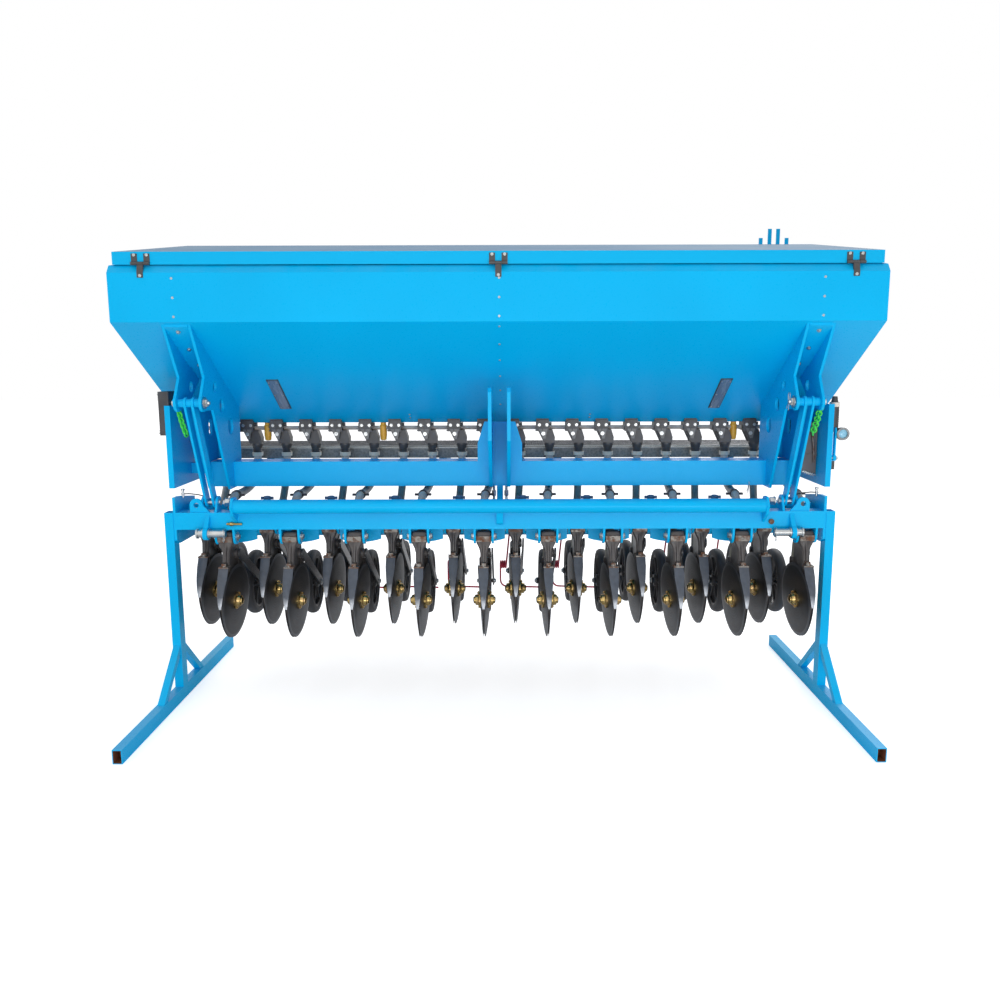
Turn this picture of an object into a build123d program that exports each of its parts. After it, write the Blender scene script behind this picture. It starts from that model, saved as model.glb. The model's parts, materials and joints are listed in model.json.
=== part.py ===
from build123d import *
import os
from math import atan2, cos, degrees, hypot, radians, sin, tan

# Mounted seed drill, parked on its two stands.  Millimetres.  X runs across the
# machine, Y towards its rear and Z up, with the origin on the ground at the middle
# of its outline.  The tractor or power harrow couples at the front, -Y.

os.makedirs("parts", exist_ok=True)

# ---- driving dimensions ------------------------------------------------------
row_count = 20
row_pitch = 150
overall_depth = 1710
main_bottom = 990
row_half = row_count * row_pitch / 2

# hopper
hopper_half = row_half + 110
sheet = 3
band_front = -445
shoulder_rise = 32
shoulder_run = 26
floor_front = 335
floor_depth = 80
floor_height = main_bottom + 288
band_bottom = floor_height + 472
band_top = band_bottom + 200
hopper_back = 455
hopper_back_top = band_top + 162
outlet_hole = 19
outlet_inset = 36
window_x = row_half - 443
window_width = 48
window_length = 276
window_start = 478
window_slot = 28
window_plate = 6

# lid
lid_half = hopper_half - 20
lid_skirt = 52
lid_clear = 3
lid_front_setback = 16
lid_overhang = 14
hinge_x = hopper_half - 138
hinge_width = 76
hinge_knuckle = 7
hinge_pin = 4
hinge_play = 0.1

# rear bracket on the hopper
fork_x = row_half - 102
fork_half = 75
fork_plate = 8
fork_foot = hopper_back_top - 92
fork_shoulder = hopper_back_top + 43
fork_top = hopper_back_top + 134
fork_prong = 18

# main beam, consoles and mast
main_beam = 120
main_wall = 8
main_front = 55
main_half = row_half - 216
main_end = row_half - 100
console_plate = 12
console_gap = 98
knee_y = -275
knee_z = main_bottom + 530
toe_y = -8
toe_z = main_bottom - 5
link_eye_y = -315
link_eye_z = main_bottom + 420
link_eye_radius = 38
link_pin = 15
pin_play = 0.15
mast_plate = 16
mast_gap = 69
mast_front = -245
mast_top = main_bottom + 480
mast_break = main_bottom + 245
mast_hole = 13
mast_hole_y = -195
mast_hole_z = main_bottom + 425
panel_x = row_half
panel_back = 250
panel_top = main_bottom + 400
panel_bottom = main_bottom + 20
panel_flange = 25
gusset_plate = 12
gusset_half = 107
gusset_top_half = 74
gusset_height = 190

# drive case, sensor and control box on the side panels
case_inner = row_half - 48
case_front = 30
case_back = 385
case_top = floor_height + 12
case_bottom = floor_height - 168
case_shoulder = floor_height - 8
case_wall = 18
sensor_y = -100
sensor_radius = 21.5
sensor_gap = 16
sensor_low = main_bottom + 271
sensor_high = main_bottom + 407
control_depth = 120
control_width = 52
control_low = main_bottom + 264
control_high = main_bottom + 463

# lower frame
lower_beam = 80
lower_wall = 6
lower_bottom = 820
lower_front = -167
rail_setback = 165
rail_lift = 13
end_plate = 12
frame_half = row_half + 7
end_plate_top = 970
end_plate_bottom = 750
end_plate_back = 95
torsion_radius = 32
torsion_half = row_half - 290
torsion_y = -205
torsion_z = 934
post_width = 30
post_depth = 22
link_plate = 10
link_gap = 24
link_half_width = 25
link_foot_y = -112
link_foot_z = 940

# lower coupling: a pin and a holed lug near each end of the front beam
coupling_plate_x = row_half - 163
coupling_plate = 20
coupling_y = -198
coupling_z = 808
coupling_pin = 18
coupling_eye = 30
coupling_in = coupling_plate_x - 79
coupling_out = coupling_plate_x + 55
lug_hole_x = main_end
lug_hole_z = 934
lug_hole = 12
holed_lug_plate = 12
holed_lug_half = 30

# coulters
pivot_drop = 40
lug_plate = 10
lug_gap = 74
lug_radius = 36
pivot_pin = 11
pivot_play = 0.3
apron_plate = 8
apron_setback = 14
apron_bottom = 722
apron_rise = 16
apron_gap = 4
axle_back = 27
axle_drop = 315
disc_radius = 175
disc_thickness = 4
disc_angle = 5
disc_gap = 1.5
hub_radius = 42
hub_flange = 8
hub_barrel = 27
hub_rise = 16
hub_cap = 17
hub_cap_rise = 9
arm_blade = 20
arm_head = 56
head_low = disc_radius + 11
head_front = -78
head_nose = head_low + 50
shield_clear = 9
shield_plate = 5
shield_half = 24
shield_tip = 5
shield_low = 12
socket_y = 90
socket_low = 130
socket_top = 200
socket_wall = 4
press_trail = 400
press_rise = 10
press_radius = 165
press_width = 50
press_hub = 28
press_axle = 10
press_play = 0.3
press_clear = 9
press_bar = 8
press_web = 10
spoke_count = 6
spoke_inner = 44
spoke_outer = 108

# seed metering
shaft_y = 345
shaft_z = floor_height - 28
shaft_flats = 20
shaft_play = 0.3
shaft_half = row_half
meter_front = 300
meter_width = 66
meter_offset = -10
spout_offset = 28
spout_radius = 24
tube_radius = 19
tube_seat = 0.3
tube_end = 140

# rear walkway, tray and harrow
tray_front = 402
tray_depth = 78
tray_height = 52
tray_top = main_bottom + 150
walk_front = 490
walk_top = main_bottom + 135
walk_depth = 45
walk_half = row_half
slot_count = 15
slot_length = 165
slot_width = 130
slot_pitch = 195
slot_rows = 170
walk_arm = 40
walk_arm_x = [-8 * row_pitch, -2 * row_pitch, 2 * row_pitch, 8 * row_pitch]
harrow_y = 735
harrow_z = 640
harrow_bar = 50
harrow_half = row_half - 80
harrow_arm_x = [-7 * row_pitch, 0, 7 * row_pitch]
tine_radius = 5
tine_pitch = 2 * row_pitch
tine_count = 9

# stands
foot_front = -overall_depth / 2
foot_length = 1453
foot_width = 40
foot_height = 60
tube_wall = 3
leg_front = -170
leg_depth = 60
brace_reach = 230
brace_height = 265
brace_width = 30

# ---- places worked out from them ---------------------------------------------
all_rows = [(k - (row_count - 1) / 2) * row_pitch for k in range(row_count)]
rear_rows = all_rows[0::2]
front_rows = all_rows[1::2]
slope = (band_bottom - floor_height) / (floor_front - band_front)
slope_angle = degrees(atan2(band_bottom - floor_height, floor_front - band_front))
lower_top = lower_bottom + lower_beam
main_top = main_bottom + main_beam
main_back = main_front + main_beam
floor_back = floor_front + floor_depth
front_pivot = (lower_front + lower_beam / 2, lower_bottom - pivot_drop)
rear_pivot = (front_pivot[0] + rail_setback, front_pivot[1] + rail_lift)
console_inner = main_half
console_outer = main_half + console_plate + console_gap
link_centre = main_half + console_plate + console_gap / 2
shoulder_top = (band_front + shoulder_run, band_top + shoulder_rise)
lid_rise = (hopper_back_top - shoulder_top[1]) / (hopper_back - shoulder_top[0])
side = (-1, 1)


def slope_z(y):
    """Height of the hopper's sloping underside at a distance along the machine."""
    return band_bottom - slope * (y - band_front)


def rim_z(y):
    """Height of the hopper's top rim, which rises to the rear."""
    return shoulder_top[1] + lid_rise * (y - shoulder_top[0])


def rear_sheet_y(z):
    """Where the hopper's rear sheet has its outer face at a height."""
    lean = (hopper_back - floor_back) / (hopper_back_top - floor_height - sheet)
    return floor_back + lean * (z - floor_height - sheet)


def outline(plane, corners):
    """A flat face on a plane, from its corners in order."""
    with BuildSketch(plane) as face:
        with BuildLine():
            Polyline(*corners, close=True)
        make_face()
    return face.sketch


def tube_section(plane, centre, width, height, wall):
    """The hollow section of a square or rectangular tube."""
    with BuildSketch(plane) as face:
        with Locations(centre):
            Rectangle(width, height)
            Rectangle(width - 2 * wall, height - 2 * wall, mode=Mode.SUBTRACT)
    return face.sketch


def eye_bar(plane, start, end, radius):
    """A bar with a rounded end about each of two points."""
    turn = degrees(atan2(end[1] - start[1], end[0] - start[0]))
    reach = hypot(end[0] - start[0], end[1] - start[1])
    middle = ((start[0] + end[0]) / 2, (start[1] + end[1]) / 2)
    with BuildSketch(plane) as face:
        with Locations(Location(middle, turn)):
            SlotCenterToCenter(reach, 2 * radius)
    return face.sketch


# ---- hopper --------------------------------------------------------------------
# Front panel: one folded sheet with shoulder, upright band and long slope, slotted
# behind each level window.
with BuildPart() as hopper_front:
    with BuildSketch(Plane.YZ.offset(-hopper_half + sheet)):
        with BuildLine():
            fold = Polyline(
                shoulder_top,
                (band_front, band_top),
                (band_front, band_bottom),
                (floor_front, floor_height),
            )
            offset(fold, amount=sheet, side=Side.LEFT)
        make_face()
    extrude(amount=2 * (hopper_half - sheet))
    for s in side:
        window_plane = Plane(
            origin=(s * window_x, band_front, band_bottom),
            x_dir=(1, 0, 0),
            z_dir=(0, -sin(radians(slope_angle)), -cos(radians(slope_angle))),
        )
        with BuildSketch(window_plane):
            with Locations((0, -(window_start + window_length / 2))):
                SlotOverall(window_length - window_width, window_slot, rotation=90)
        extrude(amount=2 * sheet, both=True, mode=Mode.SUBTRACT)
hopper_front.part.label = "hopper_front"
export_step(hopper_front.part, "parts/hopper_front.step")

# Rear panel: nearly upright sheet from the floor to the rim.
with BuildPart() as hopper_rear:
    with BuildSketch(Plane.YZ.offset(-hopper_half + sheet)):
        with BuildLine():
            Polyline(
                (floor_back - sheet, floor_height + sheet),
                (floor_back, floor_height + sheet),
                (hopper_back, hopper_back_top),
                (hopper_back - sheet, hopper_back_top),
                close=True,
            )
        make_face()
    extrude(amount=2 * (hopper_half - sheet))
hopper_rear.part.label = "hopper_rear"
export_step(hopper_rear.part, "parts/hopper_rear.step")

# Floor: a flat strip with one outlet over each metering unit.
with BuildPart() as hopper_floor:
    with BuildSketch(Plane.XY.offset(floor_height)):
        with Locations((0, floor_front + (floor_depth + sheet) / 2)):
            Rectangle(2 * (hopper_half - sheet), floor_depth - sheet)
        with Locations(*[(x, floor_front + outlet_inset) for x in all_rows]):
            Circle(outlet_hole, mode=Mode.SUBTRACT)
    extrude(amount=sheet)
hopper_floor.part.label = "hopper_floor"
export_step(hopper_floor.part, "parts/hopper_floor.step")

# Side panels close the ends, cut to the hopper's section.
hopper_outline = [
    shoulder_top,
    (band_front, band_top),
    (band_front, band_bottom),
    (floor_front, floor_height),
    (floor_back, floor_height),
    (hopper_back, hopper_back_top),
]
with BuildPart() as hopper_sides:
    for s in side:
        extrude(outline(Plane.YZ.offset(s * hopper_half), hopper_outline), amount=-s * sheet)
hopper_sides.part.label = "hopper_sides"
export_step(hopper_sides.part, "parts/hopper_sides.step")

# Level windows: a screwed-on plate over each slot, lying on the slope.
with BuildPart() as level_windows:
    for s in side:
        window_plane = Plane(
            origin=(s * window_x, band_front, band_bottom),
            x_dir=(1, 0, 0),
            z_dir=(0, -sin(radians(slope_angle)), -cos(radians(slope_angle))),
        )
        with BuildSketch(window_plane):
            with Locations((0, -(window_start + window_length / 2))):
                RectangleRounded(window_width, window_length, 8)
        extrude(amount=window_plate)
level_windows.part.label = "level_windows"
export_step(level_windows.part, "parts/level_windows.step")

# ---- lid -----------------------------------------------------------------------
# Shallow tray turned over the hopper's mouth: a top sheet with a skirt all round.
lid_front = band_front + lid_front_setback
lid_back = hopper_back + lid_overhang
lid_outline = [
    (lid_front, rim_z(lid_front) + lid_clear),
    (lid_front, rim_z(lid_front) + lid_clear + lid_skirt),
    (lid_back, rim_z(lid_back) + lid_clear + lid_skirt),
    (lid_back, rim_z(lid_back) + lid_clear),
]
with BuildPart() as lid:
    extrude(outline(Plane.YZ.offset(-lid_half), lid_outline), amount=2 * lid_half)
    underside = lid.faces().sort_by(SortBy.AREA)[-2:].sort_by(Axis.Z)[0]
    offset(amount=-sheet, openings=underside)
lid.part.label = "hopper_lid"
export_step(lid.part, "parts/hopper_lid.step")

# Hinges along the lid's front edge.  The leaf on the shoulder carries the middle
# knuckle and the pin; the leaf on the lid's skirt carries the two outer knuckles.
hinge_y = lid_front - hinge_knuckle - 1
hinge_z = rim_z(lid_front) + hinge_knuckle
hinge_centres = [-hinge_x, 0, hinge_x]
with BuildPart() as lid_hinge_bases:
    for x in hinge_centres:
        with BuildSketch(Plane.YZ.offset(x - hinge_width / 6)):
            with Locations((hinge_y, hinge_z)):
                Circle(hinge_knuckle)
        extrude(amount=hinge_width / 3)
        with BuildSketch(Plane.YZ.offset(x - hinge_width / 2)):
            with Locations((hinge_y, hinge_z)):
                Circle(hinge_pin)
        extrude(amount=hinge_width)
        leaf = [
            (hinge_y - hinge_knuckle, hinge_z),
            (hinge_y - hinge_knuckle / 2, hinge_z - hinge_knuckle),
            (band_front - 3, band_top + 2),
            (band_front - 3, band_top - 20),
            (band_front, band_top - 20),
            (band_front, band_top),
            (hinge_y + 1, band_top + (hinge_y + 1 - band_front) * shoulder_rise / shoulder_run),
            (hinge_y + 2, hinge_z - 2),
        ]
        extrude(outline(Plane.YZ.offset(x - hinge_width / 6), leaf), amount=hinge_width / 3)
lid_hinge_bases.part.label = "lid_hinge_bases"
export_step(lid_hinge_bases.part, "parts/lid_hinge_bases.step")

with BuildPart() as lid_hinge_leaves:
    for x in hinge_centres:
        for s in side:
            inner_end = x + s * (hinge_width / 6 + 1)
            with BuildSketch(Plane.YZ.offset(inner_end)):
                with Locations((hinge_y, hinge_z)):
                    Circle(hinge_knuckle)
                    Circle(hinge_pin + hinge_play, mode=Mode.SUBTRACT)
            extrude(amount=s * (hinge_width / 3 - 1))
            leaf = [
                (hinge_y + hinge_knuckle - 1, hinge_z),
                (lid_front, hinge_z),
                (lid_front, hinge_z + 40),
                (lid_front - 3, hinge_z + 40),
                (lid_front - 3, hinge_z + 10),
            ]
            extrude(outline(Plane.YZ.offset(inner_end), leaf), amount=s * (hinge_width / 3 - 1))
lid_hinge_leaves.part.label = "lid_hinge_leaves"
export_step(lid_hinge_leaves.part, "parts/lid_hinge_leaves.step")

# ---- main beam, consoles and mast ----------------------------------------------
with BuildPart() as main_beam_tube:
    beam_centre = (main_front + main_beam / 2, main_bottom + main_beam / 2)
    section = tube_section(
        Plane.YZ.offset(-main_half), beam_centre, main_beam, main_beam, main_wall
    )
    extrude(section, amount=2 * main_half)
main_beam_tube.part.label = "main_beam"
export_step(main_beam_tube.part, "parts/main_beam.step")

# Inner console plates: upper edge along the hopper's slope, an eye for the link pin
# at the front, and a diagonal row of lightening holes.
console_tip_y = band_front + 15
inner_console_outline = [
    (console_tip_y, slope_z(console_tip_y)),
    (main_back + 10, slope_z(main_back + 10)),
    (main_back + 10, toe_z),
    (toe_y, toe_z),
    (-194, main_bottom + 382),
    (link_eye_y + 20, link_eye_z - link_eye_radius + 4),
    (link_eye_y - link_eye_radius + 8, link_eye_z + 20),
    (knee_y - 12, knee_z),
]
inner_console_holes = (
    (-159, main_bottom + 485, 25),
    (-76, main_bottom + 396, 32),
    (40, main_bottom + 292, 40),
)

# Outer console plates: shorter, with one lightening hole.
outer_console_outline = [
    (console_tip_y, slope_z(console_tip_y)),
    (-40, slope_z(-40)),
    (-194, main_bottom + 400),
    (link_eye_y + 20, link_eye_z - link_eye_radius + 4),
    (link_eye_y - link_eye_radius + 8, link_eye_z + 20),
    (knee_y - 12, knee_z),
]
outer_console_holes = ((-150, main_bottom + 484, 25),)
with BuildPart() as console_plates:
    for s in side:
        for start, corners, holes in (
            (console_inner, inner_console_outline, inner_console_holes),
            (console_outer, outer_console_outline, outer_console_holes),
        ):
            with BuildSketch(Plane.YZ.offset(s * start)):
                with BuildLine():
                    Polyline(*corners, close=True)
                make_face()
                with Locations((link_eye_y, link_eye_z)):
                    Circle(link_eye_radius)
                    Circle(link_pin + pin_play, mode=Mode.SUBTRACT)
                for y, z, radius in holes:
                    with Locations((y, z)):
                        Circle(radius, mode=Mode.SUBTRACT)
            extrude(amount=s * console_plate)
console_plates.part.label = "console_plates"
export_step(console_plates.part, "parts/console_plates.step")

# Console brackets: a flange bolted up to the slope between the plates of each console,
# the closed end of the main beam beyond the inner plate, and a stub tube from it out to
# the side panel.
flange_thickness = 10
flange_start = console_tip_y
flange_end = -150
with BuildPart() as console_brackets:
    for s in side:
        flange_outline = [
            (flange_start, slope_z(flange_start)),
            (flange_end, slope_z(flange_end)),
            (flange_end, slope_z(flange_end) - flange_thickness),
            (flange_start, slope_z(flange_start) - flange_thickness),
        ]
        start = Plane.YZ.offset(s * (console_inner + console_plate))
        extrude(outline(start, flange_outline), amount=s * console_gap)
        beam_end = tube_section(start, beam_centre, main_beam, main_beam, main_wall)
        extrude(beam_end, amount=s * (main_end - main_wall - console_inner - console_plate))
        with BuildSketch(Plane.YZ.offset(s * (main_end - main_wall))):
            with Locations(beam_centre):
                Rectangle(main_beam, main_beam)
        extrude(amount=s * main_wall)
        stub = tube_section(
            Plane.YZ.offset(s * main_end), (beam_centre[0], main_bottom + 85), 50, 50, 5
        )
        extrude(stub, amount=s * (panel_x - main_end))
console_brackets.part.label = "console_brackets"
export_step(console_brackets.part, "parts/console_brackets.step")

# Mast: two plates with a hole for the tractor's top link, on the beam's front face.
with BuildPart() as mast_plates:
    for s in side:
        mast_outline = [
            (main_front, main_bottom),
            (main_front - 32, main_bottom),
            (mast_front, mast_break),
            (mast_front, mast_top - 18),
            (mast_front + 18, mast_top),
            (mast_front + 90, mast_top),
            (mast_front + 115, mast_top - 30),
            (main_front, main_top + gusset_height),
        ]
        with BuildSketch(Plane.YZ.offset(s * mast_gap / 2)):
            with BuildLine():
                Polyline(*mast_outline, close=True)
            make_face()
            with Locations((mast_hole_y, mast_hole_z)):
                Circle(mast_hole, mode=Mode.SUBTRACT)
        extrude(amount=s * mast_plate)
mast_plates.part.label = "mast_plates"
export_step(mast_plates.part, "parts/mast_plates.step")

# Mast gusset: a six-sided plate across the mast, with two ribs down to the beam.
with BuildPart() as mast_gusset:
    face_plane = Plane(origin=(0, main_front, 0), x_dir=(1, 0, 0), z_dir=(0, -1, 0))
    gusset_outline = [
        (-gusset_half, main_top),
        (gusset_half, main_top),
        (gusset_half, main_top + 85),
        (gusset_top_half, main_top + gusset_height),
        (-gusset_top_half, main_top + gusset_height),
        (-gusset_half, main_top + 85),
    ]
    extrude(outline(face_plane, gusset_outline), amount=-gusset_plate)
    for s in side:
        rib_outline = [
            (main_front + gusset_plate, main_top),
            (main_back, main_top),
            (main_front + gusset_plate, main_top + gusset_height - 30),
        ]
        rib_start = Plane.YZ.offset(s * mast_gap / 2)
        extrude(outline(rib_start, rib_outline), amount=s * mast_plate)
mast_gusset.part.label = "mast_gusset"
export_step(mast_gusset.part, "parts/mast_gusset.step")

# Outer side panels: folded sheet with a flange along the front edge.
with BuildPart() as side_panels:
    for s in side:
        reach_y = band_front + (band_bottom - panel_top) / slope
        panel_outline = [
            (leg_front + 25, panel_bottom),
            (leg_front + 25, panel_top),
            (reach_y, panel_top),
            (panel_back, slope_z(panel_back)),
            (panel_back, panel_bottom),
        ]
        extrude(outline(Plane.YZ.offset(s * panel_x), panel_outline), amount=s * sheet)
        with BuildSketch(Plane.XY.offset(panel_bottom)):
            with Locations((s * (panel_x + panel_flange / 2), leg_front + 25 + sheet / 2)):
                Rectangle(panel_flange, sheet)
        extrude(amount=panel_top - panel_bottom)
side_panels.part.label = "side_panels"
export_step(side_panels.part, "parts/side_panels.step")

# Side fittings: the drive case on the right panel's inner face, which carries the
# metering shaft's end, a round sensor on its outer face, and a control box on the left.
shaft_corner = shaft_flats / 2 / cos(radians(30))
with BuildPart() as side_fittings:
    case_outline = [
        (case_front, case_bottom + 20),
        (case_front, case_top - 10),
        (case_front + 30, case_top),
        (floor_front - 45, case_top),
        (floor_front - 5, case_shoulder),
        (case_back, case_shoulder),
        (case_back, shaft_z - case_wall),
        (floor_front - 45, shaft_z - case_wall),
        (case_front + 170, case_bottom),
        (case_front + 30, case_bottom),
    ]
    with BuildSketch(Plane.YZ.offset(case_inner)):
        with BuildLine():
            Polyline(*case_outline, close=True)
        make_face()
        with Locations((shaft_y, shaft_z)):
            Circle(shaft_corner + shaft_play, mode=Mode.SUBTRACT)
    extrude(amount=panel_x - case_inner)
    with BuildSketch(Plane.YZ.offset(case_inner - 32)):
        with Locations(((case_front + floor_front - 60) / 2, (case_bottom + case_top) / 2)):
            RectangleRounded(floor_front - 100 - case_front, case_top - case_bottom - 30, 20)
    extrude(amount=32)
    sensor_x = panel_x + sheet + sensor_gap + sensor_radius
    with BuildSketch(Plane.XY.offset(sensor_low)):
        with Locations((sensor_x, sensor_y)):
            Circle(sensor_radius)
    extrude(amount=sensor_high - sensor_low)
    with BuildSketch(Plane.XY.offset(sensor_high)):
        with Locations((sensor_x, sensor_y)):
            Circle(sensor_radius - 5)
    extrude(amount=26, taper=12)
    with BuildSketch(Plane.XY.offset(sensor_low + 30)):
        with Locations((panel_x + sheet + sensor_gap, sensor_y)):
            Rectangle(2 * sensor_gap, sensor_radius)
    extrude(amount=60)
    with BuildSketch(Plane.XY.offset(control_low)):
        with Locations((-panel_x - sheet - control_width / 2, leg_front + 30 + control_depth / 2)):
            RectangleRounded(control_width, control_depth, 8)
    extrude(amount=control_high - control_low)
side_fittings.part.label = "side_fittings"
export_step(side_fittings.part, "parts/side_fittings.step")

# ---- lower frame ----------------------------------------------------------------
beam_half = frame_half - end_plate
rail_top = lower_bottom + rail_lift + lower_beam
beam_centres = (
    (front_pivot[0], lower_bottom + lower_beam / 2),
    (rear_pivot[0], lower_bottom + rail_lift + lower_beam / 2),
)
with BuildPart() as lower_beams:
    for centre in beam_centres:
        start = Plane.YZ.offset(-beam_half)
        section = tube_section(start, centre, lower_beam, lower_beam, lower_wall)
        extrude(section, amount=2 * beam_half)
lower_beams.part.label = "lower_beams"
export_step(lower_beams.part, "parts/lower_beams.step")

with BuildPart() as frame_end_plates:
    for s in side:
        end_outline = [
            (lower_front, end_plate_bottom + 20),
            (lower_front, end_plate_top),
            (lower_front + 60, end_plate_top),
            (end_plate_back, lower_top + 40),
            (end_plate_back, end_plate_bottom),
            (lower_front + 40, end_plate_bottom),
        ]
        extrude(outline(Plane.YZ.offset(s * beam_half), end_outline), amount=s * end_plate)
frame_end_plates.part.label = "frame_end_plates"
export_step(frame_end_plates.part, "parts/frame_end_plates.step")

with BuildPart() as torsion_tube:
    with BuildSketch(Plane.YZ.offset(-torsion_half)):
        with Locations((torsion_y, torsion_z)):
            Circle(torsion_radius)
            Circle(torsion_radius - 5, mode=Mode.SUBTRACT)
    extrude(amount=2 * torsion_half)
torsion_tube.part.label = "torsion_tube"
export_step(torsion_tube.part, "parts/torsion_tube.step")

# Brackets on the lower beams: one at each end of the tube, two round each link, a pin
# plate and a holed lug for the coupling, a tongue under the tube's middle and the post
# that the main beam stands on.
with BuildPart() as frame_brackets:
    for s in side:
        tube_bracket = [
            (lower_front, lower_top - 50),
            (torsion_y - 20, lower_top - 6),
            (torsion_y - 40, torsion_z),
            (torsion_y - 15, torsion_z + 40),
            (torsion_y + 30, torsion_z + 40),
            (lower_front + 70, lower_top),
            (lower_front, lower_top),
        ]
        extrude(outline(Plane.YZ.offset(s * torsion_half), tube_bracket), amount=s * end_plate)
        for bracket_x in (link_centre - 28 - link_plate, link_centre + 28):
            with BuildSketch(Plane.YZ.offset(s * bracket_x)):
                with BuildLine():
                    Polyline(
                        (lower_front + 5, lower_top),
                        (lower_front + 75, lower_top),
                        (link_foot_y + 28, link_foot_z + 8),
                        (link_foot_y - 28, link_foot_z + 8),
                        close=True,
                    )
                make_face()
                with Locations((link_foot_y, link_foot_z)):
                    Circle(30)
                    Circle(link_pin + pin_play, mode=Mode.SUBTRACT)
            extrude(amount=s * link_plate)
        with BuildSketch(Plane.YZ.offset(s * coupling_plate_x)):
            with BuildLine():
                Polyline(
                    (lower_front, lower_top - 8),
                    (lower_front, lower_bottom),
                    (coupling_y, coupling_z - coupling_eye),
                    (coupling_y - coupling_eye, coupling_z),
                    close=True,
                )
            make_face()
            with Locations((coupling_y, coupling_z)):
                Circle(coupling_eye)
                Circle(coupling_pin + pin_play, mode=Mode.SUBTRACT)
        extrude(amount=s * coupling_plate)
        with BuildSketch(Plane.XZ.offset(-lower_front - holed_lug_plate - 6)):
            with BuildLine():
                Polyline(
                    (s * (lug_hole_x + holed_lug_half), lower_top),
                    (s * (lug_hole_x - 2 * holed_lug_half), lower_top),
                    (s * (lug_hole_x - holed_lug_half), lug_hole_z),
                    (s * (lug_hole_x + holed_lug_half), lug_hole_z),
                    close=True,
                )
            make_face()
            with Locations((s * lug_hole_x, lug_hole_z)):
                Circle(holed_lug_half)
                Circle(lug_hole, mode=Mode.SUBTRACT)
        extrude(amount=holed_lug_plate)
    tongue = [
        (lower_front, lower_top - 60),
        (lower_front - 20, lower_top - 50),
        (torsion_y, torsion_z - torsion_radius),
        (lower_front, lower_top),
    ]
    with BuildSketch(Plane.YZ.offset(-post_width / 2)):
        with BuildLine():
            Polyline(*tongue, close=True)
        make_face()
        with Locations((torsion_y, torsion_z)):
            Circle(torsion_radius, mode=Mode.SUBTRACT)
    extrude(amount=post_width)
    with BuildSketch(Plane.XY.offset(rail_top)):
        with Locations((0, main_front + post_depth / 2)):
            Rectangle(post_width, post_depth)
    extrude(amount=main_bottom - rail_top)

    # Fork behind the hopper's rim: four prongs on a plate, on two ribs from the rear sheet.
    fork_y = hopper_back + lid_overhang + 7
    with BuildSketch(Plane.XZ.offset(-fork_y - fork_plate)):
        with BuildLine():
            Polyline(
                (fork_x - fork_half, fork_foot),
                (fork_x - fork_half, fork_top - 45),
                (fork_x - fork_half + fork_prong, fork_top - 45),
                (fork_x - fork_half + fork_prong, fork_shoulder),
                (fork_x - 12 - fork_prong, fork_shoulder + 15),
                (fork_x - 12 - fork_prong, fork_top),
                (fork_x - 12, fork_top),
                (fork_x - 12, fork_shoulder + 15),
                (fork_x + 12, fork_shoulder + 15),
                (fork_x + 12, fork_top),
                (fork_x + 12 + fork_prong, fork_top),
                (fork_x + 12 + fork_prong, fork_shoulder + 15),
                (fork_x + fork_half - fork_prong, fork_shoulder),
                (fork_x + fork_half - fork_prong, fork_top - 45),
                (fork_x + fork_half, fork_top - 45),
                (fork_x + fork_half, fork_foot),
                close=True,
            )
        make_face()
        with Locations((fork_x, fork_shoulder - 20)):
            Circle(8, mode=Mode.SUBTRACT)
    extrude(amount=fork_plate)
    for s in side:
        rib_x = fork_x + s * (fork_half - fork_plate)
        fork_rib = [
            (rear_sheet_y(fork_foot), fork_foot),
            (rear_sheet_y(hopper_back_top - 10), hopper_back_top - 10),
            (fork_y, hopper_back_top - 10),
            (fork_y, fork_foot),
        ]
        extrude(outline(Plane.YZ.offset(rib_x - fork_plate / 2), fork_rib), amount=fork_plate)
frame_brackets.part.label = "frame_brackets"
export_step(frame_brackets.part, "parts/frame_brackets.step")

# Link arms: twin bars from the console pins down to the brackets.
with BuildPart() as link_arms:
    for s in side:
        for bar_x in (link_centre - link_gap / 2 - link_plate, link_centre + link_gap / 2):
            with BuildSketch(Plane.YZ.offset(s * bar_x)):
                add(
                    eye_bar(
                        Plane.XY,
                        (link_eye_y, link_eye_z),
                        (link_foot_y, link_foot_z),
                        link_half_width,
                    )
                )
                with Locations((link_eye_y, link_eye_z), (link_foot_y, link_foot_z)):
                    Circle(link_pin + pin_play, mode=Mode.SUBTRACT)
            extrude(amount=s * link_plate)
link_arms.part.label = "link_arms"
export_step(link_arms.part, "parts/link_arms.step")

with BuildPart() as link_pins:
    for s in side:
        upper_start = s * (console_inner - 14)
        with BuildSketch(Plane.YZ.offset(upper_start)):
            with Locations((link_eye_y, link_eye_z)):
                Circle(link_pin)
        extrude(amount=s * (console_gap + 2 * console_plate + 28))
        lower_start = s * (link_centre - 28 - link_plate - 8)
        with BuildSketch(Plane.YZ.offset(lower_start)):
            with Locations((link_foot_y, link_foot_z)):
                Circle(link_pin)
        extrude(amount=s * (2 * (28 + link_plate + 8)))
        with BuildSketch(Plane.YZ.offset(s * coupling_in)):
            with Locations((coupling_y, coupling_z)):
                Circle(coupling_pin)
        extrude(amount=s * (coupling_out - coupling_in))
link_pins.part.label = "link_pins"
export_step(link_pins.part, "parts/link_pins.step")

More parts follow.
